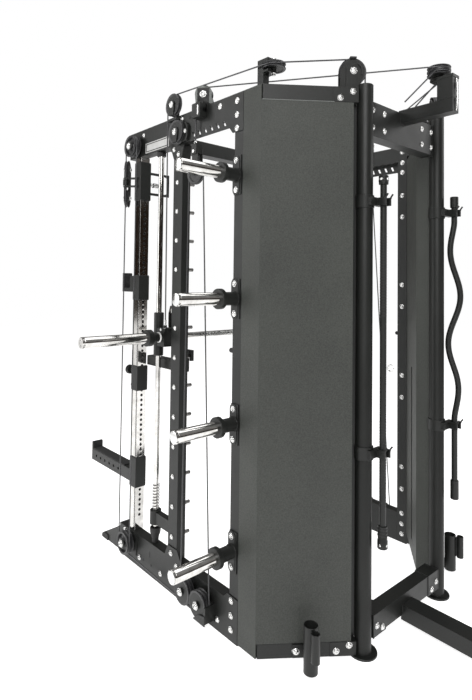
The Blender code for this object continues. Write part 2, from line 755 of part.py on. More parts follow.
def smith_sleeves():
    """Chromed sleeve and collar that turn freely on each end of the bar, bored from the inner end."""
    start = 0.690
    length = BAR_END_X - start
    profile = [(0.0, 0.039), (0.030, 0.039), (0.030, SLEEVE_R), (length, SLEEVE_R)]
    body = turned(profile, (start, BAR_Y, BAR_Z), (1, 0, 0), SMOOTH_ROUND)
    bore = rod((start - 0.01, BAR_Y, BAR_Z), (BAR_END_X - 0.008, BAR_Y, BAR_Z), 0.0134, 16)
    return finish_pair(fuse([body], [bore]), "smith_sleeve", "chrome", (start, BAR_Y, BAR_Z))


def smith_carriages():
    """Bushed tube on the guide rod, with the block that the bar turns in and the cable lug."""
    pieces = [
        rod((SIDE_X, ROD_Y, CARRIAGE_Z[0]), (SIDE_X, ROD_Y, CARRIAGE_Z[1]), CARRIAGE_R, SMOOTH_ROUND),
        box((0.590, 0.634), (-0.412, -0.349), (1.100, 1.185)),
        box((0.612, 0.660), (-0.360, -0.306), (1.176, 1.192)),
        rod((0.650, -0.316, 1.185), (0.650, -0.316, 1.206), 0.008),
    ]
    cuts = [
        rod((SIDE_X, ROD_Y, 1.0), (SIDE_X, ROD_Y, 1.3), ROD_R + ROD_CLEARANCE),
        rod((0.55, BAR_Y, BAR_Z), (0.66, BAR_Y, BAR_Z), BAR_R + 0.0008, 16),
    ]
    return finish_pair(fuse(pieces, cuts), "smith_carriage", "frame", (SIDE_X, ROD_Y, CARRIAGE_Z[0]))


def collar_on_upright(z):
    """Square sleeve around the front upright, and the cutter for its bore."""
    x = (FRONT_X - COLLAR_HALF, FRONT_X + COLLAR_HALF)
    y = (FRONT_Y - COLLAR_HALF, FRONT_Y + COLLAR_HALF)
    bore_x = (FRONT_X - COLLAR_BORE, FRONT_X + COLLAR_BORE)
    bore_y = (FRONT_Y - COLLAR_BORE, FRONT_Y + COLLAR_BORE)
    return box(x, y, z), box(bore_x, bore_y, (z[0] - 0.02, z[1] + 0.02))


def pop_pin(height):
    """Sprung pin and its knob on the inner side of a sleeve."""
    start = FRONT_X - COLLAR_HALF + 0.002
    profile = [
        (0.0, 0.010),
        (0.020, 0.010),
        (0.020, 0.006),
        (0.034, 0.006),
        (0.034, 0.012),
        (0.062, 0.012),
    ]
    return turned(profile, (start, FRONT_Y, height), (-1, 0, 0))


def pulley_trolleys():
    """Sleeve with the D handle, the pop pin and the two lugs that the swivel head turns in."""
    sleeve, bore = collar_on_upright((1.830, 2.020))
    inner_x = FRONT_X - COLLAR_HALF
    reach_x = inner_x - 0.126
    bar = 0.006
    pieces = [sleeve, pop_pin(1.915)]
    for height in (1.868, 1.975):
        pieces.append(rod((inner_x + 0.002, FRONT_Y, height), (reach_x, FRONT_Y, height), bar))
    pieces.append(rod((reach_x, FRONT_Y, 1.868 - bar), (reach_x, FRONT_Y, 1.975 + bar), bar + 0.0005))
    cuts = [bore]
    for low in (1.897, 1.938):
        z = (low, low + 0.006)
        arm = [
            (0.634, -0.641),
            (0.634, -0.598),
            (0.638, -0.598),
            (0.687, -0.655),
            (0.689, -0.668),
            (0.683, -0.680),
            (0.668, -0.682),
            (0.650, -0.655),
        ]
        pieces.append(prism(arm, "z", *z))
        cuts.append(rod((LOOP_X, PIVOT_Y, low - 0.01), (LOOP_X, PIVOT_Y, low + 0.02), 0.006))
    return finish_pair(fuse(pieces, cuts), "pulley_trolley", "frame", (FRONT_X, FRONT_Y, 1.925))


def swivel_heads():
    """Swivelling head with its two small pulleys; the cable runs down its hollow pivot."""
    pivot = Vector((LOOP_X, PIVOT_Y))
    ahead = Vector((-math.sin(HEAD_YAW), -math.cos(HEAD_YAW)))
    side = Vector((ahead.y, -ahead.x, 0.0))
    pieces = [rod((*pivot, 1.9035), (*pivot, 1.9375), 0.013, 12)]
    for height in HEAD_PULLEY_Z:
        centre = Vector((*(pivot + ahead * SMALL_RUN_R), height))
        pieces.append(disc(centre, side, 0.016, SMALL_RUN_R - 0.0035))
        pieces.append(rod(centre - side * 0.016, centre + side * 0.016, 0.010))
    for across in ((-0.014, -0.0075), (0.0075, 0.014)):
        pieces.append(slab(pivot, ahead, (0.023, 0.067), across, (1.827, 2.014)))
    pieces.append(slab(pivot, ahead, (0.004, 0.040), (-0.0123, 0.0123), (1.9085, 1.9325)))
    bore = rod((*pivot, 1.85), (*pivot, 2.02), 0.006)
    return finish_pair(fuse(pieces, [bore]), "swivel_head", "pulley", (*pivot, 1.925))


def j_hooks():
    """Sleeve with the cradle that a loose bar rests in."""
    sleeve, bore = collar_on_upright((1.316, 1.437))
    x = (0.5816, 0.6316)
    front = FRONT_Y - COLLAR_HALF
    pieces = [
        sleeve,
        box(x, (-0.760, front + 0.002), (1.354, 1.372)),
        box(x, (-0.760, -0.748), (1.354, 1.452)),
        box(x, (front - 0.040, front + 0.002), (1.360, 1.437)),
    ]
    return finish_pair(fuse(pieces, [bore]), "j_hook", "frame", (FRONT_X, FRONT_Y, 1.3765))


def accessory_mounts():
    """Plain sleeve with an upright peg and thumb screw for clip-on accessories."""
    sleeve, bore = collar_on_upright((0.857, 0.975))
    front = FRONT_Y - COLLAR_HALF
    pieces = [
        sleeve,
        rod((FRONT_X, front + 0.002, 0.945), (FRONT_X, front - 0.066, 0.945), 0.007),
        rod((FRONT_X, front - 0.038, 0.862), (FRONT_X, front - 0.038, 1.050), 0.0045),
        rod((FRONT_X, front - 0.052, 0.945), (FRONT_X, front - 0.074, 0.945), 0.022, 16),
    ]
    return finish_pair(fuse(pieces, [bore]), "accessory_mount", "frame", (FRONT_X, FRONT_Y, 0.916))


def spotter_arms():
    """Sleeve with the long safety arm that catches a dropped bar."""
    sleeve, bore = collar_on_upright((0.372, 0.515))
    front = FRONT_Y - COLLAR_HALF
    x = (FRONT_X - COLLAR_HALF, FRONT_X + COLLAR_HALF)
    pieces = [
        sleeve,
        box(x, (-1.065, front + 0.002), (0.390, 0.450)),
        box(x, (-1.065, -1.053), (0.390, 0.490)),
    ]
    holes = []
    for index in range(6):
        y = -0.760 - index * 0.050
        holes.append(rod((x[0] - 0.01, y, 0.420), (x[1] + 0.01, y, 0.420), HOLE_R, 6))
    return finish_pair(fuse(pieces, [bore] + holes), "spotter_arm", "frame", (FRONT_X, FRONT_Y, 0.4435))


def safety_stops():
    """Arm that the Smith bar lands on, hung on a catch peg."""
    peg_z = PEG_TOP_Z - 6 * PEG_PITCH
    mouth_top = peg_z + PEG_R + 0.0006
    bracket = [
        (-0.315, 0.985),
        (-0.273, 0.985),
        (-0.273, mouth_top),
        (-0.251, mouth_top),
        (-0.251, 1.040),
        (-0.238, 1.040),
        (-0.238, 1.090),
        (-0.315, 1.090),
    ]
    pieces = [
        box((0.537, 0.583), (-0.578, -0.300), (0.985, 1.030)),
        prism(bracket, "x", 0.540, 0.556),
    ]
    return finish_pair(fuse(pieces), "safety_stop", "frame", (0.560, -0.300, peg_z))


def straight_bar():
    """Stored straight cable bar with its end fittings."""
    profile = [
        (0.0, 0.020),
        (0.030, 0.020),
        (0.034, 0.018),
        (0.085, 0.018),
        (0.085, STORED_BAR_R),
        (1.403, STORED_BAR_R),
        (1.403, 0.019),
        (1.438, 0.019),
    ]
    body = turned(profile, (*STRAIGHT_XY, 0.400), (0, 0, 1))
    return finish(body, "straight_bar", "frame", (*STRAIGHT_XY, 1.119))


def curl_bar():
    """Stored cambered bar: one tube with a double wave between its straight ends."""
    bottom = 0.436
    top = 1.820
    wave = ALONG * 0.030
    points = []
    steps = 28
    for step in range(steps + 1):
        height = 0.800 + (1.700 - 0.800) * step / steps
        phase = 4.0 * math.pi * step / steps
        ease = math.sin(math.pi * step / steps) ** 0.5
        swing = math.sin(phase) * ease
        points.append((CURL_XY[0] + wave.x * swing, CURL_XY[1] + wave.y * swing, height))
    points = [(*CURL_XY, bottom + 0.02)] + points + [(*CURL_XY, top - 0.02)]
    tube = cable(points, radius=STORED_BAR_R)
    pieces = [
        tube,
        rod((*CURL_XY, bottom), (*CURL_XY, bottom + 0.085), 0.018),
        rod((*CURL_XY, top - 0.050), (*CURL_XY, top), 0.018),
    ]
    return finish(fuse(pieces), "curl_bar", "frame", (*CURL_XY, 1.138))


def spinning_pulleys():
    for name, height in (("front_top_pulley", TOP_PULLEY_Z), ("front_bottom_pulley", LOW_PULLEY_Z)):
        centre = (PULLEY_X, PULLEY_Y, height)
        finish_pair(sheave(centre, (1, 0, 0), 2), name, "pulley", centre)
    body = sheave(REAR_PULLEY, REAR_AXIS, 1, REAR_PULLEY_R)
    finish_pair(body, "rear_top_pulley", "pulley", tuple(REAR_PULLEY))


def trainer_cables():
    """Loop over the front top pulley and under the front bottom one, through the trolley's pivot."""
    top = arc((PULLEY_Y, TOP_PULLEY_Z), CABLE_RUN_R, 0.0, 180.0, 10)
    bottom = arc((PULLEY_Y, LOW_PULLEY_Z), CABLE_RUN_R, 180.0, 360.0, 10)
    points = [(LOOP_X, y, z) for y, z in top + bottom]
    return finish_pair(cable(points, closed=True), "trainer_cable", "cable")


def stack_cables():
    """From the front bottom pulley along the base, up over the floating pulley and down to its anchor."""
    run_r = CABLE_RUN_R + 0.0006
    points = [(STACK_LINE_X, y, z) for y, z in arc((PULLEY_Y, LOW_PULLEY_Z), CABLE_RUN_R, 200.0, 270.0, 4)]
    points += [(STACK_LINE_X, y, z) for y, z in arc(BASE_PULLEYS[0], run_r, 270.0, 355.0, 5)]
    floating = (FLOATING_PULLEY.y, FLOATING_PULLEY.z)
    points += [(FLOATING_PULLEY.x, y, z) for y, z in arc(floating, CABLE_RUN_R, 5.0, 175.0, 8)]
    points.append((0.655, FLOATING_PULLEY.y - CABLE_RUN_R + 0.004, 0.150))
    return finish_pair(cable(points), "stack_cable", "cable")


def lat_cables():
    """From the floating pulley's block over the rear top pulley to the lat pulley, with that block."""
    drop = REAR_PULLEY.xy - REAR_ALONG * REAR_RUN_R
    for side, name, sheave_z in ((1.0, "lat_cable_r", 2.294), (-1.0, "lat_cable_l", 2.280)):
        points = [(*drop, 2.006)]
        for a, b in arc((0.0, 0.0), REAR_RUN_R, 180.0, 94.0, 6):
            level = REAR_PULLEY.xy + REAR_ALONG * a
            points.append((level.x, level.y, REAR_PULLEY.z + b))
        touch_deg = math.degrees(math.atan2(REAR_AXIS.y, REAR_AXIS.x))
        wrap = arc(LAT_PULLEY.xy, LAT_RUN_R, touch_deg, touch_deg + 130.0, 8)
        points += [(x, y, sheave_z) for x, y in wrap]
        points.append((-LAT_RUN_R, 0.560, 2.185))
        block = box((0.6375, 0.6625), (-0.118, -0.078), (1.973, 2.020))
        body = fuse([floating_pulley(), block, cable(points)])
        if side < 0.0:
            body.data.transform(Matrix.Diagonal((-1.0, 1.0, 1.0, 1.0)))
            body.data.flip_normals()
        finish(body, name, "cable")


def floating_pulley():
    """The floating pulley itself, joined to its block by the cheek on its inner side."""
    wheel = disc(FLOATING_PULLEY, (1, 0, 0), THIN_PULLEY_WIDTH)
    x = FLOATING_PULLEY.x
    y = FLOATING_PULLEY.y
    axle = rod((x - 0.014, y, FLOATING_PULLEY.z), (x + 0.016, y, FLOATING_PULLEY.z), 0.012)
    cheek = box((x + 0.0105, x + 0.0150), (y - 0.014, y + 0.030), (FLOATING_PULLEY.z - 0.014, 1.998))
    return fuse([wheel, axle, cheek])


def smith_cables():
    """From the carriage up past the beam pulleys, round the corner and into the rear post."""
    points = [(0.650, -0.316, 1.2066), (0.655, -0.3165, 2.06)]
    points += [(0.655, y, z) for y, z in arc(BEAM_PULLEY.yz, BEAM_RUN_R, 180.0, 100.0, 5)]
    points += [(x, y, FLAT_PULLEY.z) for x, y in arc(FLAT_PULLEY.xy, FLAT_RUN_R, 4.0, 57.6, 4)]
    for a, b in arc((0.0, 0.0), CABLE_RUN_R, 96.0, 0.0, 6):
        points.append((*(POST_PULLEY.xy + ALONG * a), POST_PULLEY.z + b))
    points.append((*(POST_PULLEY.xy + ALONG * CABLE_RUN_R), POST_TOP + 0.0006))
    return finish_pair(cable(points), "smith_cable", "cable")


clear_scene()
MATERIALS = {name: make_material(name) for name in COLOURS}
for build in (
    base_beams,
    top_beams,
    front_uprights,
    smith_uprights,
    guide_rods,
    stack_frames,
    bar_sockets,
    outer_shrouds,
    inner_covers,
    rear_posts,
    rear_base_frame,
    rear_top_frame,
    front_crossbeam,
    weight_stacks,
    stack_heads,
    smith_bar,
    smith_sleeves,
    smith_carriages,
    pulley_trolleys,
    swivel_heads,
    j_hooks,
    accessory_mounts,
    spotter_arms,
    safety_stops,
    straight_bar,
    curl_bar,
    spinning_pulleys,
    trainer_cables,
    stack_cables,
    lat_cables,
    smith_cables,
):
    build()
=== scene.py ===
"""Looks for the smith machine: detailed pieces, materials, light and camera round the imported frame."""

import json
import math

import bmesh
import bpy
from mathutils import Matrix, Vector

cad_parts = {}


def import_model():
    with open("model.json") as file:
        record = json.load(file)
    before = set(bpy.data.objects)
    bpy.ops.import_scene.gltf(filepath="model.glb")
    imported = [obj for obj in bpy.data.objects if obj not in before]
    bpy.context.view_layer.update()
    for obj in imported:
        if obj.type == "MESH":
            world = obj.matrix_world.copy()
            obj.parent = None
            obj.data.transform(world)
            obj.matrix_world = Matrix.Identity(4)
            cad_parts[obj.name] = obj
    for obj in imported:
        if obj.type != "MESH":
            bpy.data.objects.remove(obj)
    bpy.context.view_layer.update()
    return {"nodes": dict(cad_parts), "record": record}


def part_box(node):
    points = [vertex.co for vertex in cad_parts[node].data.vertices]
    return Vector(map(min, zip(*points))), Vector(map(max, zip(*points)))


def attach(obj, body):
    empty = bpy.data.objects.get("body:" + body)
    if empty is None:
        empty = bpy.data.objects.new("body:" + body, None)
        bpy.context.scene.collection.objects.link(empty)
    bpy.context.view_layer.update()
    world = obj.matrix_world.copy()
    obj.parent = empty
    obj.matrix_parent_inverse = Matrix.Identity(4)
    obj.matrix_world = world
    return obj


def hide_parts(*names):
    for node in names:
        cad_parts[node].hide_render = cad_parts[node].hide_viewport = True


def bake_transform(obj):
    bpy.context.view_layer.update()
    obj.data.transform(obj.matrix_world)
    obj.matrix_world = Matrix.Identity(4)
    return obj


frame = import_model()

# Side frames. Lengths are in metres, +Z is up and +Y points to the rear leg.
PLATE_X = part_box("outer_shroud_r")[1].x  # outer face of the side plates
COLUMN_LOW = 0.143  # front face of the rear column
COLUMN_X = PLATE_X - 0.0044  # outer face of the columns behind the side plates
FRAME_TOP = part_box("outer_shroud_r")[1].z
SIDE_X = PLATE_X - 0.025  # middle of the side frames
INNER_X = PLATE_X - 0.050  # their face towards the user

# The angled corner: a fold, and the direction along its outer face
FOLD = Vector((PLATE_X, 0.300))
ALONG = Vector((math.cos(math.radians(142.72)), math.sin(math.radians(142.72))))
OUTWARD = Vector((ALONG.y, -ALONG.x))
POST = Vector((0.2863, 0.530))
POST_R = 0.032
CORNER_LENGTH = (POST - FOLD).dot(ALONG)
STACK = FOLD + ALONG * 0.190 - OUTWARD * 0.060

# Smith part
ROD_Y = -0.430
ROD_R = 0.0125
BAR_Y = -0.375
BAR_Z = 1.1445
PEG_Y = -0.262
PEG_TOP_Z = 1.8734
PEG_PITCH = 0.1355
PEG_Z = [PEG_TOP_Z - PEG_PITCH * index for index in range(13)]

# Storage horns
HORN_Y = 0.159
HORN_Z = [1.8455 - 0.4989 * index for index in range(4)]
HORN_REACH = 0.2872
HORN_BOLT = 0.060  # above and below the horn

# Front upright and the four fittings that slide on it, with their lowest and highest points
FRONT = Vector((0.6066, -0.613))
FACE_HOLE_Z = [0.230 + 0.025 * index for index in range(71)]
FITTINGS = {
    "pulley_trolley": (1.830, 2.020),
    "j_hook": (1.316, 1.437),
    "accessory_mount": (0.857, 0.975),
    "spotter_arm": (0.372, 0.515),
}

# Pulleys and cables
CABLE_R = 0.0030
PULLEY_X, PULLEY_Y = 0.669, -0.615
TOP_PULLEY_Z, LOW_PULLEY_Z = 2.100, 0.102
RUN_R = 0.052  # cable centre line on a large pulley
PIVOT = Vector((0.676, PULLEY_Y - RUN_R))
BEAM_PULLEY = Vector((0.655, -0.268, 2.232))
IDLE_PULLEY = Vector((0.655, -0.240, 2.100))
REAR_PULLEY = Vector((0.630, -0.072, 2.2345))
FLAT_PULLEY = Vector((0.566, 0.296, 2.268))
LAT_PULLEY = Vector((0.0, 0.690, 2.287))
REAR_ALONG = (LAT_PULLEY.xy - REAR_PULLEY.xy).normalized()
REAR_AXIS = Vector((REAR_ALONG.y, -REAR_ALONG.x, 0.0))
POST_PULLEY = Vector((*(POST - ALONG * RUN_R), 2.252))
FLOATING_PULLEY = Vector((0.640, -0.108, 1.898))

# Stored bars, which stand in the forks on the rear posts
STRAIGHT_BAR = (0.243, 0.588)
CURL_BAR = (-0.333, 0.592)

UP = Vector((0.0, 0.0, 1.0))
RIGHT = Vector((1.0, 0.0, 0.0))


# ---------------------------------------------------------------- materials

def add(tree, kind, **values):
    """A shader node with its properties, or its inputs, set by name."""
    node = tree.nodes.new(kind)
    for name, value in values.items():
        if name in node.inputs:
            node.inputs[name].default_value = value
        else:
            setattr(node, name.lower().replace(" ", "_"), value)
    return node


def noise(tree, position, scale, detail=3.0, roughness=0.5):
    """Cloudy values from 0 to 1."""
    node = add(tree, "ShaderNodeTexNoise", Scale=scale, Detail=detail, Roughness=roughness)
    tree.links.new(position, node.inputs["Vector"])
    return node.outputs["Fac"]


def ramp(tree, value, low, high, low_colour, high_colour):
    """Two colours with a soft step between two values."""
    node = tree.nodes.new("ShaderNodeValToRGB")
    node.color_ramp.elements[0].position = low
    node.color_ramp.elements[1].position = high
    node.color_ramp.elements[0].color = (*low_colour, 1.0)
    node.color_ramp.elements[1].color = (*high_colour, 1.0)
    tree.links.new(value, node.inputs["Fac"])
    return node.outputs["Color"]


def between(tree, value, low, high):
    """The value's 0 to 1 range moved to low to high."""
    node = tree.nodes.new("ShaderNodeMapRange")
    node.inputs["To Min"].default_value = low
    node.inputs["To Max"].default_value = high
    tree.links.new(value, node.inputs["Value"])
    return node.outputs["Result"]


def bump(tree, shader, height, strength, distance):
    """Fine relief on a shader."""
    node = add(tree, "ShaderNodeBump", Strength=strength, Distance=distance)
    tree.links.new(height, node.inputs["Height"])
    tree.links.new(node.outputs["Normal"], shader.inputs["Normal"])


def start_material(name, metallic=0.0):
    """A new material, its node tree, its shader and the position in metres."""
    material = bpy.data.materials.new(name)
    material.use_nodes = True
    tree = material.node_tree
    shader = tree.nodes["Principled BSDF"]
    shader.inputs["Metallic"].default_value = metallic
    position = tree.nodes.new("ShaderNodeTexCoord").outputs["Object"]
    return material, tree, shader, position


def powder_coat(name, dark, light, roughness, grain, strength):
    """Painted steel: a fine orange-peel grain, cloudy tone and faint handling marks in the gloss."""
    material, tree, shader, position = start_material(name)
    cloud = noise(tree, position, 3.0, 4.0, 0.6)
    speck = noise(tree, position, grain * 0.45, 2.0, 0.7)
    mix = add(tree, "ShaderNodeMath", operation="MULTIPLY_ADD")
    tree.links.new(cloud, mix.inputs[0])
    mix.inputs[1].default_value = 0.40
    tree.links.new(speck, mix.inputs[2])
    tree.links.new(ramp(tree, mix.outputs[0], 0.50, 0.90, dark, light), shader.inputs["Base Color"])
    smear = noise(tree, position, 14.0, 5.0, 0.65)
    tree.links.new(between(tree, smear, roughness - 0.09, roughness + 0.09), shader.inputs["Roughness"])
    shader.inputs["Specular IOR Level"].default_value = 0.35
    bump(tree, shader, noise(tree, position, grain, 2.0, 0.6), strength, 0.0006)
    return material


def polished(name, dark, light, roughness, scratch):
    """Plated steel with fine lengthwise polishing marks and a little haze."""
    material, tree, shader, position = start_material(name, metallic=1.0)
    haze = noise(tree, position, 22.0, 4.0, 0.6)
    tree.links.new(ramp(tree, haze, 0.35, 0.65, dark, light), shader.inputs["Base Color"])
    tree.links.new(between(tree, haze, roughness * 0.6, roughness * 1.5), shader.inputs["Roughness"])
    stretch = add(tree, "ShaderNodeMapping", Scale=(1.0, 1.0, 0.06))
    tree.links.new(position, stretch.inputs["Vector"])
    bump(tree, shader, noise(tree, stretch.outputs["Vector"], 700.0, 2.0), scratch, 0.0003)
    return material


def moulded(name, dark, light, roughness, grain):
    """Moulded nylon or rubber with a faint tool texture."""
    material, tree, shader, position = start_material(name)
    cloud = noise(tree, position, 18.0, 3.0)
    tree.links.new(ramp(tree, cloud, 0.35, 0.70, dark, light), shader.inputs["Base Color"])
    tree.links.new(between(tree, cloud, roughness - 0.06, roughness + 0.08), shader.inputs["Roughness"])
    bump(tree, shader, noise(tree, position, grain, 2.0), 0.25, 0.0004)
    return material


def cable_jacket(name):
    """Nylon jacket over steel strands, which show as a faint twist."""
    material, tree, shader, position = start_material(name)
    wave = add(tree, "ShaderNodeTexWave", Scale=190.0, Distortion=0.6, bands_direction="DIAGONAL")
    tree.links.new(position, wave.inputs["Vector"])
    colour = ramp(tree, wave.outputs["Fac"], 0.1, 0.9, (0.030, 0.030, 0.032), (0.060, 0.060, 0.062))
    tree.links.new(colour, shader.inputs["Base Color"])
    shader.inputs["Roughness"].default_value = 0.34
    bump(tree, shader, wave.outputs["Fac"], 0.3, 0.0003)
    return material


def hammered_iron(name):
    """Cast iron under a dimpled black coat."""
    material, tree, shader, position = start_material(name)
    cells = add(tree, "ShaderNodeTexVoronoi", Scale=170.0)
    tree.links.new(position, cells.inputs["Vector"])
    cloud = noise(tree, position, 12.0, 4.0)
    colour = ramp(tree, cloud, 0.3, 0.7, (0.030, 0.031, 0.031), (0.060, 0.061, 0.060))
    tree.links.new(colour, shader.inputs["Base Color"])
    shader.inputs["Roughness"].default_value = 0.48
    bump(tree, shader, cells.outputs["Distance"], 0.35, 0.0008)
    return material


FRAME_PAINT = powder_coat("frame_paint", (0.0065, 0.0070, 0.0065), (0.015, 0.016, 0.0145), 0.42, 900.0, 0.20)
PANEL_PAINT = powder_coat("panel_paint", (0.032, 0.034, 0.031), (0.056, 0.060, 0.053), 0.56, 430.0, 0.50)
CHEEK_PAINT = powder_coat("cheek_paint", (0.120, 0.128, 0.122), (0.170, 0.178, 0.170), 0.40, 800.0, 0.20)
CHROME = polished("bright_chrome", (0.54, 0.53, 0.51), (0.74, 0.73, 0.71), 0.09, 0.05)
ZINC = polished("zinc", (0.62, 0.62, 0.61), (0.82, 0.82, 0.81), 0.24, 0.25)
NYLON = moulded("pulley_nylon", (0.013, 0.013, 0.014), (0.024, 0.024, 0.025), 0.38, 700.0)
RUBBER = moulded("black_rubber", (0.010, 0.010, 0.010), (0.020, 0.020, 0.020), 0.70, 420.0)
WHITE_NYLON = moulded("white_nylon", (0.78, 0.78, 0.76), (0.86, 0.86, 0.85), 0.42, 500.0)
SPRING_STEEL = polished("spring_steel", (0.20, 0.195, 0.19), (0.36, 0.35, 0.34), 0.30, 0.20)
LABEL = moulded("label_face", (0.42, 0.42, 0.41), (0.50, 0.50, 0.49), 0.35, 500.0)
JACKET = cable_jacket("cable_jacket")
IRON = hammered_iron("stack_iron")
CAD_LOOKS = {
    "frame": FRAME_PAINT,
    "panel": PANEL_PAINT,
    "chrome": CHROME,
    "steel": ZINC,
    "rubber": RUBBER,
    "pulley": NYLON,
    "iron": IRON,
    "cable": JACKET,
}


# ---------------------------------------------------------------- shapes

def arc(centre, radius, start_deg, end_deg, steps):
    """Points on a circle in a plane, from one angle to another, both included."""
    found = []
    for step in range(steps + 1):
        turn = math.radians(start_deg + (end_deg - start_deg) * step / steps)
        found.append((centre[0] + radius * math.cos(turn), centre[1] + radius * math.sin(turn)))
    return found


def across(direction):
    """Two directions square to this one and to each other."""
    direction = Vector(direction).normalized()
    helper = UP if abs(direction.z) < 0.9 else RIGHT
    first = direction.cross(helper).normalized()
    return first, direction.cross(first).normalized()


class Shape:
    """One mesh in the making: solids are added to it, and place() turns it into a piece."""

    def __init__(self):
        self.bm = bmesh.new()

    def loft(self, rings, closed_ends=True):
        """Skins rings of the same number of points, in order."""
        made = [[self.bm.verts.new(p) for p in ring] for ring in rings]
        count = len(made[0])
        for low, high in zip(made, made[1:]):
            for index in range(count):
                after = (index + 1) % count
                self.bm.faces.new((low[index], low[after], high[after], high[index]))
        if closed_ends:
            self.bm.faces.new(list(reversed(made[0])))
            self.bm.faces.new(made[-1])
        else:
            for index in range(count):
                after = (index + 1) % count
                corners = (made[-1][index], made[-1][after], made[0][after], made[0][index])
                self.bm.faces.new(corners)

    def prism(self, outline, axis, low, high):
        """A flat outline pushed along a row axis. The outline is in the other two axes, in order."""
        rings = []
        for level in (low, high):
            points = [list(p) for p in outline]
            for point in points:
                point.insert("xyz".index(axis), level)
            rings.append(points)
        self.loft(rings)

    def box(self, x, y, z):
        """A box from its low and high bound along each row axis."""
        self.prism([(x[0], y[0]), (x[1], y[0]), (x[1], y[1]), (x[0], y[1])], "z", *z)

    def plate(self, outline, origin, first, second, thickness):
        """A flat outline in a tilted plane, with its thickness along the plane's normal."""
        origin, first, second = Vector(origin), Vector(first), Vector(second)
        normal = first.cross(second).normalized()
        flat = [origin + first * a + second * b for a, b in outline]
        self.loft([flat, [p + normal * thickness for p in flat]])

    def slab(self, origin, direction, along, beside, z):
        """An upright box square to a level direction, with distances along it and to its right."""
        side = Vector((direction.y, -direction.x))
        corners = ((along[0], beside[0]), (along[1], beside[0]), (along[1], beside[1]), (along[0], beside[1]))
        self.prism([tuple(origin + direction * a + side * c) for a, c in corners], "z", *z)

    def turned(self, profile, start, direction, sides=32, hollow=False):
        """Turns a profile of (distance, radius) about a line. A hollow one is a closed profile."""
        start, direction = Vector(start), Vector(direction).normalized()
        first, second = across(direction)
        rings = []
        for distance, radius in profile:
            centre = start + direction * distance
            ring = []
            for index in range(sides):
                turn = 2 * math.pi * index / sides
                ring.append(centre + (first * math.cos(turn) + second * math.sin(turn)) * radius)
            rings.append(ring)
        self.loft(rings, closed_ends=not hollow)

    def rod(self, start, end, radius, sides=24, edge=0.0008):
        """A round bar with a small chamfer at each end."""
        start, end = Vector(start), Vector(end)
        length = (end - start).length
        profile = [(0.0, radius - edge), (edge, radius), (length - edge, radius), (length, radius - edge)]
        self.turned(profile, start, end - start, sides)

    def ring(self, centre, axis, inner, outer, width, sides=40):
        """A flat ring with chamfered rims, centred on a point."""
        edge = min(0.0012, width / 4)
        half = width / 2
        profile = [
            (-half, inner), (-half, outer - edge), (-half + edge, outer),
            (half - edge, outer), (half, outer - edge), (half, inner),
        ]
        self.turned(profile, centre, axis, sides, hollow=True)

    def sweep(self, points, radius, sides=12):
        """A round tube along a line of points."""
        points = [Vector(p) for p in points]
        rings = []
        first = None
        for index, point in enumerate(points):
            ahead = points[min(index + 1, len(points) - 1)] - points[max(index - 1, 0)]
            ahead.normalize()
            if first is None:
                first = across(ahead)[0]
            first = (first - ahead * first.dot(ahead)).normalized()
            second = ahead.cross(first)
            ring = []
            for side in range(sides):
                turn = 2 * math.pi * side / sides
                ring.append(point + (first * math.cos(turn) + second * math.sin(turn)) * radius)
            rings.append(ring)
        self.loft(rings)

    def bead(self, centre, axis, radius, thick=0.0022, sides=40):
        """A fillet weld round a tube: a ring of small overlapping ripples."""
        first, second = across(axis)
        points = []
        for index in range(sides * 2 + 1):
            turn = math.pi * index / sides
            swell = radius + 0.0005 * math.sin(turn * 18)
            points.append(Vector(centre) + (first * math.cos(turn) + second * math.sin(turn)) * swell)
        self.sweep(points, thick, 6)

    def bolt(self, point, normal, size=1.0):
        """A dome head with a hex socket, on a washer."""
        profile = [
            (0.0, 0.0125), (0.0016, 0.0125), (0.0020, 0.0120), (0.0020, 0.0104), (0.0036, 0.0102),
            (0.0056, 0.0088), (0.0071, 0.0066), (0.0076, 0.0044), (0.0076, 0.0034), (0.0040, 0.0034),
        ]
        self.turned([(a * size, r * size) for a, r in profile], point, normal, 18)

    def hex_nut(self, point, normal, size=1.0):
        """A locknut on a washer."""
        self.turned([(0.0, 0.011 * size), (0.0016 * size, 0.011 * size)], point, normal, 20)
        self.turned(
            [(0.0016 * size, 0.0088 * size), (0.0085 * size, 0.0092 * size), (0.0095 * size, 0.0082 * size)],
            point, normal, 6,
        )
        self.turned([(0.0090 * size, 0.0065 * size), (0.0120 * size, 0.0055 * size)], point, normal, 16)

    def wheel(self, centre, axis, rim, bed, half, grooves=1, bore=0.0):
        """A pulley wheel: rounded rims, V grooves, a dished web and a hub."""
        pitch = 2 * half / grooves
        edges = [(-half * 0.55, max(bore, 0.010)), (-half * 0.55, rim * 0.36), (-half * 0.30, rim * 0.42)]
        edges += [(-half * 0.30, rim * 0.74), (-half * 0.92, rim * 0.80)]
        edges += [(-half, rim * 0.86), (-half, rim * 0.98)]
        for index in range(grooves):
            middle = (index - (grooves - 1) / 2) * pitch
            lip = pitch * 0.38
            edges += [(middle - lip, rim), (middle - lip * 0.55, (rim + bed) / 2), (middle - lip * 0.3, bed)]
            edges += [(middle + lip * 0.3, bed), (middle + lip * 0.55, (rim + bed) / 2), (middle + lip, rim)]
        mirrored = [(-a, r) for a, r in reversed(edges[:7])]
        self.turned(edges + mirrored, centre, axis, 48, hollow=True)


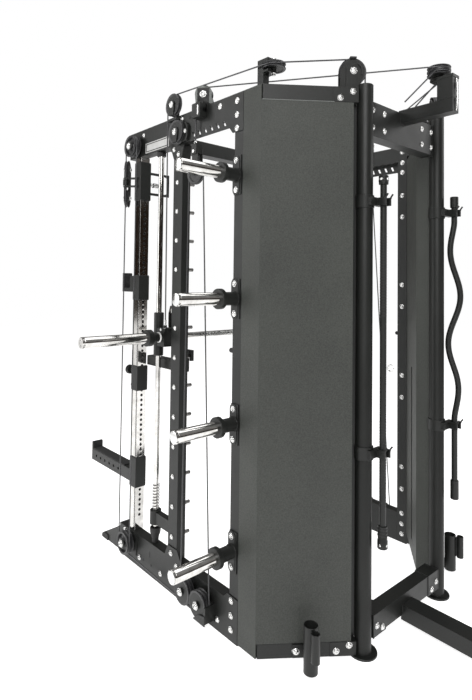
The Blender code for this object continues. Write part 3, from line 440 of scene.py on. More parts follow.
def place(shape, name, material, body="frame", bevel=0.0, replaces=(), pair=True):
    """Turns a shape into a piece on a body. A pair is mirrored to the left, with _r names made _l."""
    mesh = bpy.data.meshes.new(name)
    bmesh.ops.recalc_face_normals(shape.bm, faces=shape.bm.faces)
    shape.bm.to_mesh(mesh)
    shape.bm.free()
    made = [finish_piece(mesh, name + "_r" if pair else name, material, body, bevel, replaces)]
    if pair:
        other = mesh.copy()
        other.transform(Matrix.Diagonal((-1.0, 1.0, 1.0, 1.0)))
        other.flip_normals()
        left = [left_name(node) for node in replaces]
        made.append(finish_piece(other, name + "_l", material, left_name(body), bevel, left))
    return made


def left_name(name):
    """The name of the same thing on the left side."""
    return name[:-2] + "_l" if name.endswith("_r") else name


def finish_piece(mesh, name, material, body, bevel, replaces):
    """A mesh as a shaded object on its body and the nodes it stands in for."""
    for polygon in mesh.polygons:
        polygon.use_smooth = True
    mesh.set_sharp_from_angle(angle=math.radians(34))
    mesh.materials.append(material)
    obj = bpy.data.objects.new(name, mesh)
    bpy.context.scene.collection.objects.link(obj)
    if bevel:
        add_bevel(obj, bevel)
    if body:
        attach(obj, body)
    if replaces:
        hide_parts(*replaces)
    return obj


def add_bevel(obj, width, angle_deg=41.0):
    """Rolls the sharp edges, so that they catch the light."""
    modifier = obj.modifiers.new("edges", "BEVEL")
    modifier.width = width
    modifier.segments = 2
    modifier.limit_method = "ANGLE"
    modifier.angle_limit = math.radians(angle_deg)
    modifier.use_clamp_overlap = True
    normals = obj.modifiers.new("normals", "WEIGHTED_NORMAL")
    normals.keep_sharp = True


def dress_cad_nodes():
    """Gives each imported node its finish, welds its facets together and rolls its edges."""
    slots = {part["node"]: part["material_slot"] for part in frame["record"]["subparts"]}
    for name, node in frame["nodes"].items():
        node.data.materials.clear()
        node.data.materials.append(CAD_LOOKS[slots[name]])
        with bpy.context.temp_override(object=node, active_object=node, mesh=node.data):
            bpy.ops.mesh.customdata_custom_splitnormals_clear()
        for polygon in node.data.polygons:
            polygon.use_smooth = True
        weld = node.modifiers.new("weld", "WELD")
        weld.merge_threshold = 0.00001
        add_bevel(node, 0.0011)
        node.modifiers["normals"].keep_sharp = False


# ---------------------------------------------------------------- side frames

def plate_bolts():
    """Dome bolts on the outer plates, the columns and the angled corner."""
    on_plate = [
        (0.160, 2.150), (0.160, 2.093), (0.160, 2.038), (0.160, 0.157), (0.160, 0.100), (0.160, 0.046),
        (0.051, 2.153), (0.077, 0.046),
        (-0.260, 0.176), (-0.216, 0.134), (-0.286, 2.030), (-0.250, 2.003),
        (-0.529, 0.050), (-0.342, 0.050), (-0.166, 0.050),
        (-0.225, 2.160), (-0.560, 2.152), (-0.672, 0.138),
    ]
    shape = Shape()
    for y, z in on_plate:
        shape.bolt((PLATE_X, y, z), RIGHT)
    for height in HORN_Z:
        for offset in (-HORN_BOLT, HORN_BOLT):
            shape.bolt((PLATE_X + 0.0022, HORN_Y, height + offset), RIGHT)
    for height in PEG_Z:
        shape.bolt((COLUMN_X, PEG_Y, height), RIGHT, 0.9)
    for along, z in ((CORNER_LENGTH - 0.108, 2.137), (CORNER_LENGTH - 0.058, 2.164),
                     (CORNER_LENGTH - 0.112, 0.028), (CORNER_LENGTH - 0.062, 0.048), (0.150, 0.036)):
        shape.bolt((*(FOLD + ALONG * along + OUTWARD * 0.0016), z), (*OUTWARD, 0.0))
    place(shape, "frame_bolts", ZINC)


def inner_bolts():
    """Dome bolts on the faces that look into the rack, which show through the far side."""
    shape = Shape()
    column_y = 0.171
    for z in (2.150, 2.090, 2.035, 0.157, 0.100, 0.046):
        shape.bolt((INNER_X, column_y, z), -RIGHT)
    for height in HORN_Z:
        for offset in (-HORN_BOLT, HORN_BOLT):
            shape.bolt((INNER_X, column_y, height + offset), -RIGHT)
    for y, z in ((-0.10, 2.140), (-0.45, 2.110), (-0.240, 2.110), (-0.45, 0.085), (-0.10, 0.085)):
        shape.bolt((INNER_X, y, z), -RIGHT)
    place(shape, "inner_bolts", ZINC)


def plate_details():
    """Black discs and slits laid into the outer plates as painted shade of their holes and slits, and the
    small stop on the column.
    """
    # Black rubber discs and strips set flush in the plates' holes and slits: painted shade of the openings.
    holes = Shape()
    for y, z in ((-0.493, 0.052), (-0.425, 0.052), (-0.108, 0.050), (-0.545, 2.150), (-0.562, 2.150),
                 (-0.150, 2.160), (-0.165, 2.155)):
        holes.rod((PLATE_X - 0.004, y, z), (PLATE_X + 0.0004, y, z), 0.0062, 16, 0.0003)
    for y, z in ((-0.440, (0.085, 0.112)), (0.1945, (2.112, 2.165)), (0.1945, (0.035, 0.090))):
        holes.box((PLATE_X - 0.004, PLATE_X + 0.0004), (y, y + 0.0035), z)
    along = CORNER_LENGTH - 0.136
    for z in ((0.0080, 0.0600), (FRAME_TOP - 0.0590, FRAME_TOP - 0.0005)):
        holes.slab(FOLD, ALONG, (along, along + 0.0022), (-0.0012, 0.0021), z)
    place(holes, "plate_hole_shade", RUBBER)
    stop = Shape()
    start = (PLATE_X - 0.020, COLUMN_LOW + 0.0005, 1.135)
    stop.turned([(0.0, 0.010), (0.026, 0.010), (0.030, 0.007)], start, (0, -1, 0))
    place(stop, "column_stop", RUBBER)


def corner_brackets():
    """End plates that bolt the angled beams to the rear post, the strip beside it, and a thin lip in lighter
    grey that is a painted highlight line under the top strip.
    """
    shape = Shape()
    post_side = CORNER_LENGTH - POST_R
    for z in ((0.0080, 0.0600), (FRAME_TOP - 0.0600, FRAME_TOP - 0.0002)):
        shape.slab(FOLD, ALONG, (CORNER_LENGTH - 0.134, post_side - 0.003), (0.0, 0.0016), z)
    shape.slab(FOLD, ALONG, (CORNER_LENGTH - 0.080, post_side - 0.001), (-0.038, -0.030), (0.0605, 2.1215))
    place(shape, "corner_bracket", FRAME_PAINT, bevel=0.0006)
    # Thin lip in the paler cheek grey just under the top strip: a painted highlight, the light line along the
    # beam's lower edge.
    highlight_lip = Shape()
    z = (FRAME_TOP - 0.0615, FRAME_TOP - 0.0592)
    highlight_lip.slab(FOLD, ALONG, (0.004, CORNER_LENGTH - 0.130), (-0.0010, 0.0012), z)
    place(highlight_lip, "corner_highlight_lip", CHEEK_PAINT)


def label_plate():
    """Blank pale plate on the outer face of the top beam, with a dark border line."""
    shape, border = Shape(), Shape()
    shape.box((PLATE_X, PLATE_X + 0.0010), (-0.540, -0.330), (2.056, 2.106))
    x = (PLATE_X + 0.0010, PLATE_X + 0.0014)
    for y in ((-0.5340, -0.5290), (-0.3410, -0.3360)):
        border.box(x, y, (2.061, 2.101))
    for z in ((2.0610, 2.0650), (2.0970, 2.1010)):
        border.box(x, (-0.5290, -0.3410), z)
    place(shape, "label_plate", LABEL, bevel=0.0003)
    place(border, "label_border", FRAME_PAINT)


def horns():
    """Chromed horns with their black sleeves, collars and flange plates."""
    chrome, caps, black, flanges = Shape(), Shape(), Shape(), Shape()
    for height in HORN_Z:
        base = (PLATE_X, HORN_Y, height)
        low = arc((HORN_Y, height - HORN_BOLT), 0.0205, 180.0, 360.0, 10)
        high = arc((HORN_Y, height + HORN_BOLT), 0.0205, 0.0, 180.0, 10)
        flanges.prism(low + high, "x", PLATE_X - 0.001, PLATE_X + 0.0022)
        black.turned(
            [(0.0, 0.0290), (0.004, 0.0272), (0.060, 0.0268), (0.0695, 0.0268), (0.0700, 0.0385),
             (0.0715, 0.0405), (0.0885, 0.0405), (0.0903, 0.0385), (0.0904, 0.0256)],
            base, RIGHT, 48,
        )
        black.bead((PLATE_X + 0.0035, HORN_Y, height), RIGHT, 0.0285)
        tip = HORN_REACH
        chrome.turned(
            [(0.0885, 0.0252), (tip - 0.0100, 0.0252), (tip - 0.0094, 0.0248), (tip - 0.0088, 0.0253),
             (tip - 0.0022, 0.0253), (tip - 0.0010, 0.0240)],
            base, RIGHT, 64,
        )
        end = [(tip - 0.0020, 0.0236), (tip - 0.0004, 0.0232), (tip + 0.0002, 0.0222)]
        caps.turned(end, base, RIGHT, 64)
    place(chrome, "horn_tubes", CHROME)
    place(caps, "horn_caps", ZINC)
    place(black, "horn_collars", FRAME_PAINT)
    place(flanges, "horn_flanges", FRAME_PAINT, bevel=0.0006)


def bar_sockets():
    """Open tubes on a bracket outside the low corner beam, which hold the ends of bars."""
    shape, bolts = Shape(), Shape()
    wide, narrow = Vector((0.5262, 0.4752)), Vector((0.5478, 0.5152))
    along = (wide - FOLD).dot(ALONG)
    shape.slab(FOLD, ALONG, (along - 0.055, along + 0.020), (0.0004, 0.0044), (0.010, 0.058))
    shape.slab(FOLD, ALONG, (along - 0.004, along + 0.004), (0.0040, 0.0475), (0.012, 0.056))
    shape.slab(wide, (narrow - wide).normalized(), (0.0245, 0.0310), (-0.004, 0.004), (0.075, 0.165))
    cups = ((wide, 0.0265, 0.006, 0.030, 0.175), (narrow, 0.0160, 0.070, 0.085, 0.172))
    for centre, radius, foot, floor, top in cups:
        wall = radius - 0.0030
        tall = top - foot
        shape.turned(
            [(0.0, 0.004), (0.0, radius - 0.001), (0.001, radius), (tall - 0.001, radius),
             (tall, radius - 0.001), (tall, wall + 0.0005), (tall - 0.001, wall), (floor - foot, wall),
             (floor - foot, 0.004)],
            (*centre, foot), UP, 48, hollow=True,
        )
    place(shape, "bar_sockets", FRAME_PAINT, replaces=("bar_socket_r",))
    bolts.bolt((*(FOLD + ALONG * (along - 0.041) + OUTWARD * 0.0046), 0.034), (*OUTWARD, 0.0))
    place(bolts, "bar_socket_bolt", ZINC)


# ---------------------------------------------------------------- fixed pulleys

def cheek_outline(radius, reach, half_foot, steps=18):
    """A round head that narrows or widens in straight lines to a foot below it."""
    turn = math.degrees(math.atan2(reach, radius))
    sides = max(-25.0, min(25.0, 60.0 - turn))
    head = arc((0.0, 0.0), radius, -sides, 180.0 + sides, steps)
    return head + [(-half_foot, -reach), (half_foot, -reach)]


def beam_pulleys():
    """The Smith line's pulley over the top beam, the one below it that carries no line, and a guard."""
    wheels, cheeks, bolts = Shape(), Shape(), Shape()
    wheels.wheel(BEAM_PULLEY, RIGHT, 0.0530, 0.0455, 0.0105)
    wheels.wheel(IDLE_PULLEY, RIGHT, 0.0560, 0.0480, 0.0105)
    for centre, radius, reach in ((BEAM_PULLEY, 0.020, 0.050), (IDLE_PULLEY, 0.024, 0.048)):
        origin = centre + RIGHT * 0.0115
        cheeks.plate(cheek_outline(radius, reach, 0.016), origin, (0, 1, 0), UP, 0.0035)
        bolts.bolt(centre + RIGHT * 0.0150, RIGHT, 1.25)
    bolts.bolt((0.6500, -0.184, 2.096), RIGHT, 0.9)
    cheeks.box((0.6366, 0.6655), (-0.300, -0.232), (2.158, 2.170))
    guard = [(-0.214, 2.052), (-0.176, 2.052), (-0.166, 2.070), (-0.166, 2.118), (-0.180, 2.136),
             (-0.214, 2.140)]
    cheeks.prism(guard, "x", 0.6366, 0.6500)
    place(wheels, "beam_wheels", NYLON)
    place(cheeks, "beam_cheeks", FRAME_PAINT, bevel=0.0006)
    place(bolts, "beam_pulley_bolts", ZINC)


def arc_slot(shape, origin, first, second, radius, start_deg, end_deg, half=0.0026, thick=0.0006):
    """A dark curved strip laid on a cheek plate, painted shade that stands in for a slot cut through it."""
    outer = arc((0.0, 0.0), radius + half, start_deg, end_deg, 10)
    inner = arc((0.0, 0.0), radius - half, end_deg, start_deg, 10)
    shape.plate(outer + inner, origin, first, second, thick)


def rear_top_pulleys():
    """Pulley of the lat line: wheel, pale rounded cheek with two arc slots drawn as dark strips of painted
    shade, and its black block.
    """
    wheel = Shape()
    wheel.wheel(REAR_PULLEY, REAR_AXIS, 0.0380, 0.0312, 0.0090, bore=0.0088)
    place(wheel, "rear_top_wheel", NYLON, body="rear_top_pulley_r", replaces=("rear_top_pulley_r",))
    cheeks, slots, block, bolt = Shape(), Shape(), Shape(), Shape()
    level = Vector((*REAR_ALONG, 0.0))
    head = arc((0.0, 0.004), 0.0385, -20.0, 190.0, 28)
    for beside in (0.0124, -0.0168):
        origin = REAR_PULLEY + REAR_AXIS * beside
        cheeks.plate(head + [(-0.034, -0.042), (0.048, -0.042)], origin, level, UP, -0.0044)
    front = REAR_PULLEY + REAR_AXIS * 0.0169
    # Two dark arc strips on the front cheek: painted shade of its slots.
    for start in (-50.0, 130.0):
        arc_slot(slots, front, level, UP, 0.0225, start, start + 95.0, thick=-0.0008)
    place(cheeks, "rear_top_cheeks", CHEEK_PAINT, bevel=0.0008)
    place(slots, "rear_top_slot_shade", RUBBER)
    block.box((PLATE_X - 0.002, 0.6780), (-0.098, -0.040), (2.126, 2.190))
    place(block, "rear_top_block", FRAME_PAINT, bevel=0.0035)
    bolt.bolt(front, REAR_AXIS, 1.2)
    bolt.rod((0.6780, -0.052, 2.134), (0.6780, -0.052, 2.176), 0.0036, 16)
    place(bolt, "rear_top_bolt", ZINC)


def flat_pulleys():
    """Level pulley on the corner's square post, in its folded bracket."""
    wheel, bracket, bolts = Shape(), Shape(), Shape()
    wheel.wheel(FLAT_PULLEY, UP, 0.0480, 0.0404, 0.0110)
    z = FLAT_PULLEY.z
    bracket.box((0.5540, 0.6040), (0.2425, 0.3010), (z - 0.0265, z - 0.0168))
    bracket.box((0.5540, 0.6040), (0.2425, 0.3010), (z + 0.0168, z + 0.0284))
    bracket.box((0.5715, 0.6045), (0.2425, 0.2755), (FRAME_TOP - 0.001, z + 0.0284))
    bracket.box((0.5700, 0.6060), (0.2410, 0.2770), (FRAME_TOP - 0.001, FRAME_TOP + 0.003))
    bolts.hex_nut(FLAT_PULLEY - UP * 0.0265, -UP, 0.9)
    bolts.bolt(FLAT_PULLEY + UP * 0.0285, UP, 0.9)
    place(wheel, "corner_flat_wheel", NYLON)
    place(bracket, "corner_flat_bracket", FRAME_PAINT, bevel=0.0009)
    place(bolts, "corner_flat_bolts", ZINC)


def post_pulleys():
    """Upright pulley that drops the Smith line into the rear post, between teardrop cheeks."""
    wheel, cheeks, slots, bolts, clip = Shape(), Shape(), Shape(), Shape(), Shape()
    axis = Vector((*OUTWARD, 0.0))
    level = Vector((*ALONG, 0.0))
    wheel.wheel(POST_PULLEY, axis, 0.0545, 0.0478, 0.0100)
    outline = arc((0.0, 0.0), 0.047, -12.0, 140.0, 20) + [(-0.052, 0.0), (-0.052, -0.080), (0.013, -0.080)]
    for beside in (0.0121, -0.0171):
        cheeks.plate(outline, POST_PULLEY + axis * beside, level, UP, -0.0045)
    front = POST_PULLEY + axis * 0.0168
    # Dark arc strip on the front cheek: painted shade of a slot.
    arc_slot(slots, front, level, UP, 0.036, -20.0, 60.0, 0.0030, -0.0006)
    bolts.bolt(front, axis, 1.15)
    clip.slab(POST_PULLEY.xy, ALONG, (-0.014, 0.012), (-0.020, 0.020), (2.3015, 2.3085))
    place(wheel, "post_wheel", NYLON)
    place(cheeks, "post_cheeks", FRAME_PAINT, bevel=0.0007)
    place(slots, "post_slot_shade", RUBBER)
    place(bolts, "post_pulley_bolts", ZINC)
    place(clip, "post_clip", RUBBER, bevel=0.0010)


def base_pulleys():
    """Guide pulleys on the floor beam, the rear one in its folded guard."""
    wheels, guards, bolts = Shape(), Shape(), Shape()
    for y, z in ((0.001, 0.085), (-0.110, 0.091)):
        centre = Vector((PULLEY_X, y, z))
        wheels.wheel(centre, RIGHT, 0.0550, 0.0480, 0.0165, grooves=2)
        bolts.bolt(centre + RIGHT * 0.0225, RIGHT, 1.3)
    near = [(0.000, 0.028), (0.060, 0.028), (0.060, 0.100), (0.048, 0.100), (0.048, 0.062), (0.000, 0.050)]
    guards.prism(near, "x", 0.6366, 0.6415)
    guards.box((0.6400, 0.6880), (0.0500, 0.0600), (0.034, 0.098))
    outer = [(-0.020, 0.026), (0.059, 0.026), (0.059, 0.066), (0.026, 0.060), (0.006, 0.048)]
    guards.prism(outer, "x", 0.6868, 0.6908)
    place(wheels, "base_wheels", NYLON)
    place(guards, "base_guards", FRAME_PAINT, bevel=0.0009)
    place(bolts, "base_pulley_bolts", ZINC)


def front_pulleys():
    """Double pulleys at the two ends of the front upright, which turn with their bodies."""
    for name, height in (("front_top", TOP_PULLEY_Z), ("front_bottom", LOW_PULLEY_Z)):
        wheel = Shape()
        centre = Vector((PULLEY_X, PULLEY_Y, height))
        wheel.wheel(centre, RIGHT, 0.0550, 0.0478, 0.0180, grooves=2, bore=0.0088)
        body = f"{name}_pulley_r"
        place(wheel, f"{name}_wheel", NYLON, body=body, replaces=(body,))
    fixed, bolts = Shape(), Shape()
    for height in (TOP_PULLEY_Z, LOW_PULLEY_Z):
        centre = Vector((PULLEY_X, PULLEY_Y, height))
        fixed.ring(centre + RIGHT * 0.0212, RIGHT, 0.0088, 0.0260, 0.0035)
        fixed.ring(centre - RIGHT * 0.0212, RIGHT, 0.0088, 0.0230, 0.0035)
        bolts.bolt(centre + RIGHT * 0.0232, RIGHT, 1.45)
    guard = [(-0.722, 0.060), (-0.700, 0.045), (-0.560, 0.045), (-0.548, 0.125), (-0.580, 0.1545),
             (-0.722, 0.1545)]
    fixed.prism(guard, "x", 0.6366, 0.6400)
    place(fixed, "front_pulley_guards", FRAME_PAINT, bevel=0.0007)
    place(bolts, "front_pulley_bolts", ZINC)


def front_feet():
    """Rubber foot under the triangular toe of each floor beam."""
    shape = Shape()
    outline = [(-0.938, 0.0), (-0.870, 0.0), (-0.870, 0.028), (-0.912, 0.034), (-0.938, 0.018)]
    shape.prism(outline, "x", 0.5940, 0.6310)
    place(shape, "front_foot", RUBBER, bevel=0.0030)


# ---------------------------------------------------------------- Smith part

def guide_rods():
    """Polished rod, flared rubber cup at its foot and collar at its top."""
    rod, cup = Shape(), Shape()
    rod.rod((SIDE_X, ROD_Y, 0.1554), (SIDE_X, ROD_Y, 2.0476), ROD_R, 40)
    place(rod, "guide_rod_bar", CHROME, replaces=("guide_rod_r",))
    cup.turned(
        [(0.0, 0.016), (0.012, 0.0165), (0.030, 0.0185), (0.046, 0.0245), (0.060, 0.0262), (0.070, 0.0260),
         (0.0722, 0.0240), (0.0660, 0.0190), (0.0640, 0.0130)],
        (SIDE_X, ROD_Y, 0.1556), UP, 40,
    )
    collar = [(0.0, 0.020), (0.002, 0.022), (0.020, 0.022), (0.022, 0.020)]
    cup.turned(collar, (SIDE_X, ROD_Y, 2.0250), UP, 32)
    place(cup, "guide_rod_cup", RUBBER)


def bumper_springs():
    """Open coil spring standing on the rod's lower collar."""
    turns, wire = 8.5, 0.0016
    low, high, radius = 0.3125, 0.4340, 0.0168
    points = []
    count = int(turns * 20)
    for step in range(count + 1):
        share = step / count
        lead = min(share * turns, (1.0 - share) * turns, 1.0)
        level = share
        if lead < 1.0:
            level += (1.0 - lead) * 0.4 * ((0.06 if share < 0.5 else 0.94) - share)
        height = low + (high - low) * level
        turn = 2 * math.pi * turns * share
        points.append((SIDE_X + radius * math.cos(turn), ROD_Y + radius * math.sin(turn), height))
    shape = Shape()
    shape.sweep(points, wire, 8)
    place(shape, "bumper_coil", SPRING_STEEL)


def smith_uprights():
    """Spring-steel caps on the pegs, and the clamp of the guide rod's steady arm."""
    caps, clamp = Shape(), Shape()
    for height in PEG_Z:
        caps.turned(
            [(0.0, 0.0084), (0.044, 0.0084), (0.0445, 0.0079), (0.0455, 0.0079), (0.0460, 0.0084),
             (0.0490, 0.0084), (0.0502, 0.0070)],
            (INNER_X, PEG_Y, height), -RIGHT, 28,
        )
        caps.ring((INNER_X - 0.0012, PEG_Y, height), RIGHT, 0.0084, 0.0125, 0.0022)
    clamp.ring((SIDE_X, ROD_Y, 0.2775), UP, ROD_R + 0.0006, 0.0274, 0.0652, 40)
    place(caps, "catch_pegs", SPRING_STEEL)
    place(clamp, "rod_clamp", FRAME_PAINT)


def smith_sleeves():
    """Chromed bar sleeves with a black collar; they turn freely."""
    chrome, collar = Shape(), Shape()
    start = 0.690
    length = 1.0400 - start
    chrome.turned(
        [(0.0310, 0.0250), (length - 0.0130, 0.0250), (length - 0.0122, 0.0245), (length - 0.0114, 0.0251),
         (length - 0.0020, 0.0251), (length, 0.0234), (length, 0.0134), (0.0310, 0.0134)],
        (start, BAR_Y, BAR_Z), RIGHT, 64, hollow=True,
    )
    chrome.turned([(length - 0.0100, 0.0125), (length - 0.0012, 0.0125), (length - 0.0004, 0.0115)],
                  (start, BAR_Y, BAR_Z), RIGHT, 32)
    collar.turned(
        [(0.0, 0.0134), (0.0, 0.0365), (0.0020, 0.0388), (0.0280, 0.0388), (0.0300, 0.0365), (0.0312, 0.0262),
         (0.0312, 0.0134)],
        (start, BAR_Y, BAR_Z), RIGHT, 48, hollow=True,
    )
    place(chrome, "smith_sleeve_tube", CHROME, body="smith_sleeve_r", replaces=("smith_sleeve_r",))
    place(collar, "smith_sleeve_collar", FRAME_PAINT, body="smith_sleeve_r")


def smith_bars():
    """White spacer, black collar and knurling on the bar."""
    washers, collar, knurl = Shape(), Shape(), Shape()
    washers.ring((0.6480, BAR_Y, BAR_Z), RIGHT, 0.0142, 0.0245, 0.0060, 48)
    place(washers, "bar_spacer", WHITE_NYLON, body="smith_bar")
    profile = [(0.0, 0.0195), (0.0015, 0.0210), (0.0360, 0.0210), (0.0375, 0.0195)]
    collar.turned(profile, (0.6520, BAR_Y, BAR_Z), RIGHT, 40)
    place(collar, "bar_collar", FRAME_PAINT, body="smith_bar")
    for index in range(46):
        knurl.ring((0.180 + index * 0.0062, BAR_Y, BAR_Z), RIGHT, 0.0130, 0.01432, 0.0040, 24)
    place(knurl, "bar_knurl", ZINC, body="smith_bar")


def smith_carriages():
    """Smooth bushing tube over the carriage, its end bushes and the cable's lug nut."""
    tube, bushes, nut = Shape(), Shape(), Shape()
    tube.ring((SIDE_X, ROD_Y, 1.1545), UP, 0.0160, 0.0238, 0.2040, 48)
    for z in (1.0525, 1.2565):
        bushes.ring((SIDE_X, ROD_Y, z), UP, ROD_R + 0.0004, 0.0205, 0.0045, 40)
    nut.hex_nut((0.650, -0.316, 1.192), UP, 0.75)
    nut.bolt((0.6605, -0.340, 1.184), RIGHT, 0.6)
    nut.rod((0.650, -0.316, 1.200), (0.650, -0.316, 1.232), 0.0050, 20)
    place(tube, "carriage_tube", FRAME_PAINT, body="smith_carriages")
    place(bushes, "carriage_bushes", RUBBER, body="smith_carriages")
    place(nut, "carriage_screws", ZINC, body="smith_carriages")


# ---------------------------------------------------------------- on the front upright

def sliding_sleeves():
    """Liners of the four fittings that slide on the front upright."""
    inner, outer = 0.0256, 0.0288
    for name, (low, high) in FITTINGS.items():
        liners = Shape()
        for z in ((low - 0.0035, low + 0.0020), (high - 0.0020, high + 0.0035)):
            for near, far in ((-outer, -inner), (inner, outer)):
                liners.box((FRONT.x + near, FRONT.x + far), (FRONT.y - outer, FRONT.y + outer), z)
            for near, far in ((-outer, -inner), (inner, outer)):
                liners.box((FRONT.x - inner, FRONT.x + inner), (FRONT.y + near, FRONT.y + far), z)
        place(liners, name + "_liner", RUBBER, body=name + "_r")


def trolley_details():
    """D handle with rounded corners, bright pull pin and the pivot washers of the swivel head."""
    grip, washers, pin = Shape(), Shape(), Shape()
    inner = FRONT.x - 0.030
    reach = inner - 0.126
    low, high = 1.868, 1.975
    corner = 0.020
    path = [(inner, FRONT.y, low), (reach + corner, FRONT.y, low)]
    path += [(x, FRONT.y, z) for x, z in arc((reach + corner, low + corner), corner, 270.0, 180.0, 6)]
    path += [(x, FRONT.y, z) for x, z in arc((reach + corner, high - corner), corner, 180.0, 90.0, 6)]
    path.append((inner, FRONT.y, high))
    grip.sweep(path, 0.0068, 16)
    for z in (low, high):
        grip.bead((inner - 0.001, FRONT.y, z), RIGHT, 0.0080, 0.0016, 24)
    for z in (1.9037, 1.9374):
        washers.ring((*PIVOT, z), UP, 0.0065, 0.0128, 0.0012, 32)
    pin.turned(
        [(0.0, 0.0112), (0.020, 0.0112), (0.0205, 0.0072), (0.0325, 0.0072), (0.0330, 0.0125),
         (0.0600, 0.0130), (0.0630, 0.0105)],
        (inner, FRONT.y, 1.915), -RIGHT, 32,
    )
    place(pin, "trolley_pin", ZINC, body="pulley_trolley_r")
    place(grip, "trolley_handle", FRAME_PAINT, body="pulley_trolley_r")
    place(washers, "trolley_washers", ZINC, body="pulley_trolley_r")


def swivel_heads():
    """Swivelling pulley head: two wheels between dark cheeks, with bolts and a rounded yoke."""
    ahead = Vector((-math.sin(math.radians(41.0)), -math.cos(math.radians(41.0)), 0.0))
    side = Vector((ahead.y, -ahead.x, 0.0))
    pivot = Vector((*PIVOT, 0.0))
    wheels, cheeks, bolts = Shape(), Shape(), Shape()
    for height in (1.9955, 1.8455):
        centre = pivot + ahead * 0.045 + UP * height
        wheels.wheel(centre, side, 0.0485, 0.0418, 0.0082)
        for beside in (-0.0142, 0.0142):
            bolts.bolt(centre + side * beside, side * beside, 0.95)
    outline = arc((0.045, 1.9955), 0.0225, -10.0, 190.0, 16) + arc((0.045, 1.8455), 0.0225, 170.0, 370.0, 16)
    for beside, thick in ((0.0142, -0.0050), (-0.0142, 0.0050)):
        origin = pivot + side * beside
        sign = 1.0 if ahead.cross(UP).dot(side) > 0 else -1.0
        cheeks.plate(outline, origin, ahead, UP, thick * sign)
    cheeks.ring(pivot + UP * 1.9205, UP, 0.0062, 0.0140, 0.0320, 32)
    place(wheels, "swivel_wheels", NYLON, body="swivel_head_r")
    place(cheeks, "swivel_cheeks", FRAME_PAINT, body="swivel_head_r", bevel=0.0008)
    place(bolts, "swivel_bolts", ZINC, body="swivel_head_r")


def hook_details():
    """Liner pads of the bar cradle, the accessory screw and the arm's rubber pad."""
    pads, disc, rubber = Shape(), Shape(), Shape()
    pads.box((0.5822, 0.6310), (-0.7470, -0.6840), (1.3721, 1.3745))
    pads.box((0.5822, 0.6310), (-0.7478, -0.7440), (1.3745, 1.4480))
    pads.box((0.5822, 0.6310), (-0.6830, -0.6800), (1.3745, 1.4330))
    place(pads, "j_hook_pads", RUBBER, body="j_hook_r", bevel=0.0008)
    front = FRONT.y - 0.030
    disc.turned(
        [(0.0, 0.0070), (0.020, 0.0075), (0.0215, 0.0120), (0.0235, 0.0235), (0.0330, 0.0240),
         (0.0350, 0.0222), (0.0360, 0.0100)],
        (FRONT.x, front - 0.0385, 0.945), (0, -1, 0), 32,
    )
    disc.rod((FRONT.x, front - 0.038, 0.866), (FRONT.x, front - 0.038, 1.049), 0.0049, 20)
    knob = [(0.0, 0.0040), (0.004, 0.0092), (0.010, 0.0092), (0.014, 0.0040)]
    disc.turned(knob, (FRONT.x, front - 0.038, 0.8625), UP, 24)
    place(disc, "accessory_screw", FRAME_PAINT, body="accessory_mount_r")
    rubber.box((FRONT.x - 0.0285, FRONT.x + 0.0285), (-1.0525, -0.700), (0.4495, 0.4555))
    rubber.box((FRONT.x - 0.0285, FRONT.x + 0.0285), (-1.0530, -1.0490), (0.4555, 0.4860))
    place(rubber, "spotter_pad", RUBBER, body="spotter_arm_r", bevel=0.0012)


def safety_stops():
    """Rubber pad on the stop that the Smith bar lands on."""
    pad = Shape()
    pad.box((0.5385, 0.5815), (-0.5770, -0.3200), (1.0290, 1.0325))
    place(pad, "safety_stop_pad", RUBBER, body="safety_stop_r", bevel=0.0012)


def upright_marks():
    """Black liners and a blocking disc in the holes on the front and rear faces of the chromed upright,
    painted shade that darkens the bores, with a thin black rim.
    """
    bores = Shape()
    for height in FACE_HOLE_Z:
        centre = Vector((*FRONT, height))
        for face in (-1, 1):
            out = Vector((0, face, 0))
            # Black rim, liner and blocking disc in each hole: painted shade of the bore.
            bores.ring(centre + out * 0.0250, out, 0.0058, 0.0070, 0.0008, 16)
            bores.ring(centre + out * 0.0145, out, 0.0044, 0.0053, 0.0200, 12)
            bores.rod(centre + out * 0.0050, centre + out * 0.0060, 0.0050, 10)
    place(bores, "upright_bore_shade", RUBBER)


# ---------------------------------------------------------------- rear

def rear_posts():
    """Smooth rear posts with a cap and a floor disc, and clamps with curved prongs for the stored bars."""
    post, caps, clamps, tips, screws = Shape(), Shape(), Shape(), Shape(), Shape()
    post.turned(
        [(0.0, 0.0555), (0.0055, 0.0555), (0.0070, 0.0540), (0.0072, 0.0340), (0.0110, 0.0323),
         (2.1985, 0.0323), (2.2000, 0.0310), (2.2002, 0.0070)],
        (*POST, 0.0), UP, 64,
    )
    caps.ring((*POST, 2.1965), UP, 0.0060, 0.0318, 0.0080, 48)
    place(post, "rear_post_tube", FRAME_PAINT)
    place(caps, "rear_post_cap", RUBBER)
    prong_path = ((0.0, 0.0), (0.0, 0.018), (0.004, 0.030), (0.012, 0.040))
    for side, heights, bar in ((1, (1.735, 0.760), STRAIGHT_BAR), (-1, (1.745, 0.770), CURL_BAR)):
        centre = Vector((POST.x * side, POST.y))
        for height in heights:
            clamps.ring((*centre, height), UP, 0.0322, 0.0372, 0.0500, 56)
            for prong in (-0.0170, 0.0170):
                foot = Vector((bar[0] + prong, bar[1] + 0.0190, height - 0.012))
                tips.sweep([foot + Vector((0.0, back, rise)) for back, rise in prong_path], 0.0034)
            screws.bolt((centre.x, centre.y + 0.0370, height), (0.35 * side, 1.0, 0), 0.62)
    place(clamps, "storage_clamps", FRAME_PAINT, pair=False)
    place(tips, "storage_tips", RUBBER, pair=False)
    place(screws, "storage_screws", ZINC, pair=False)


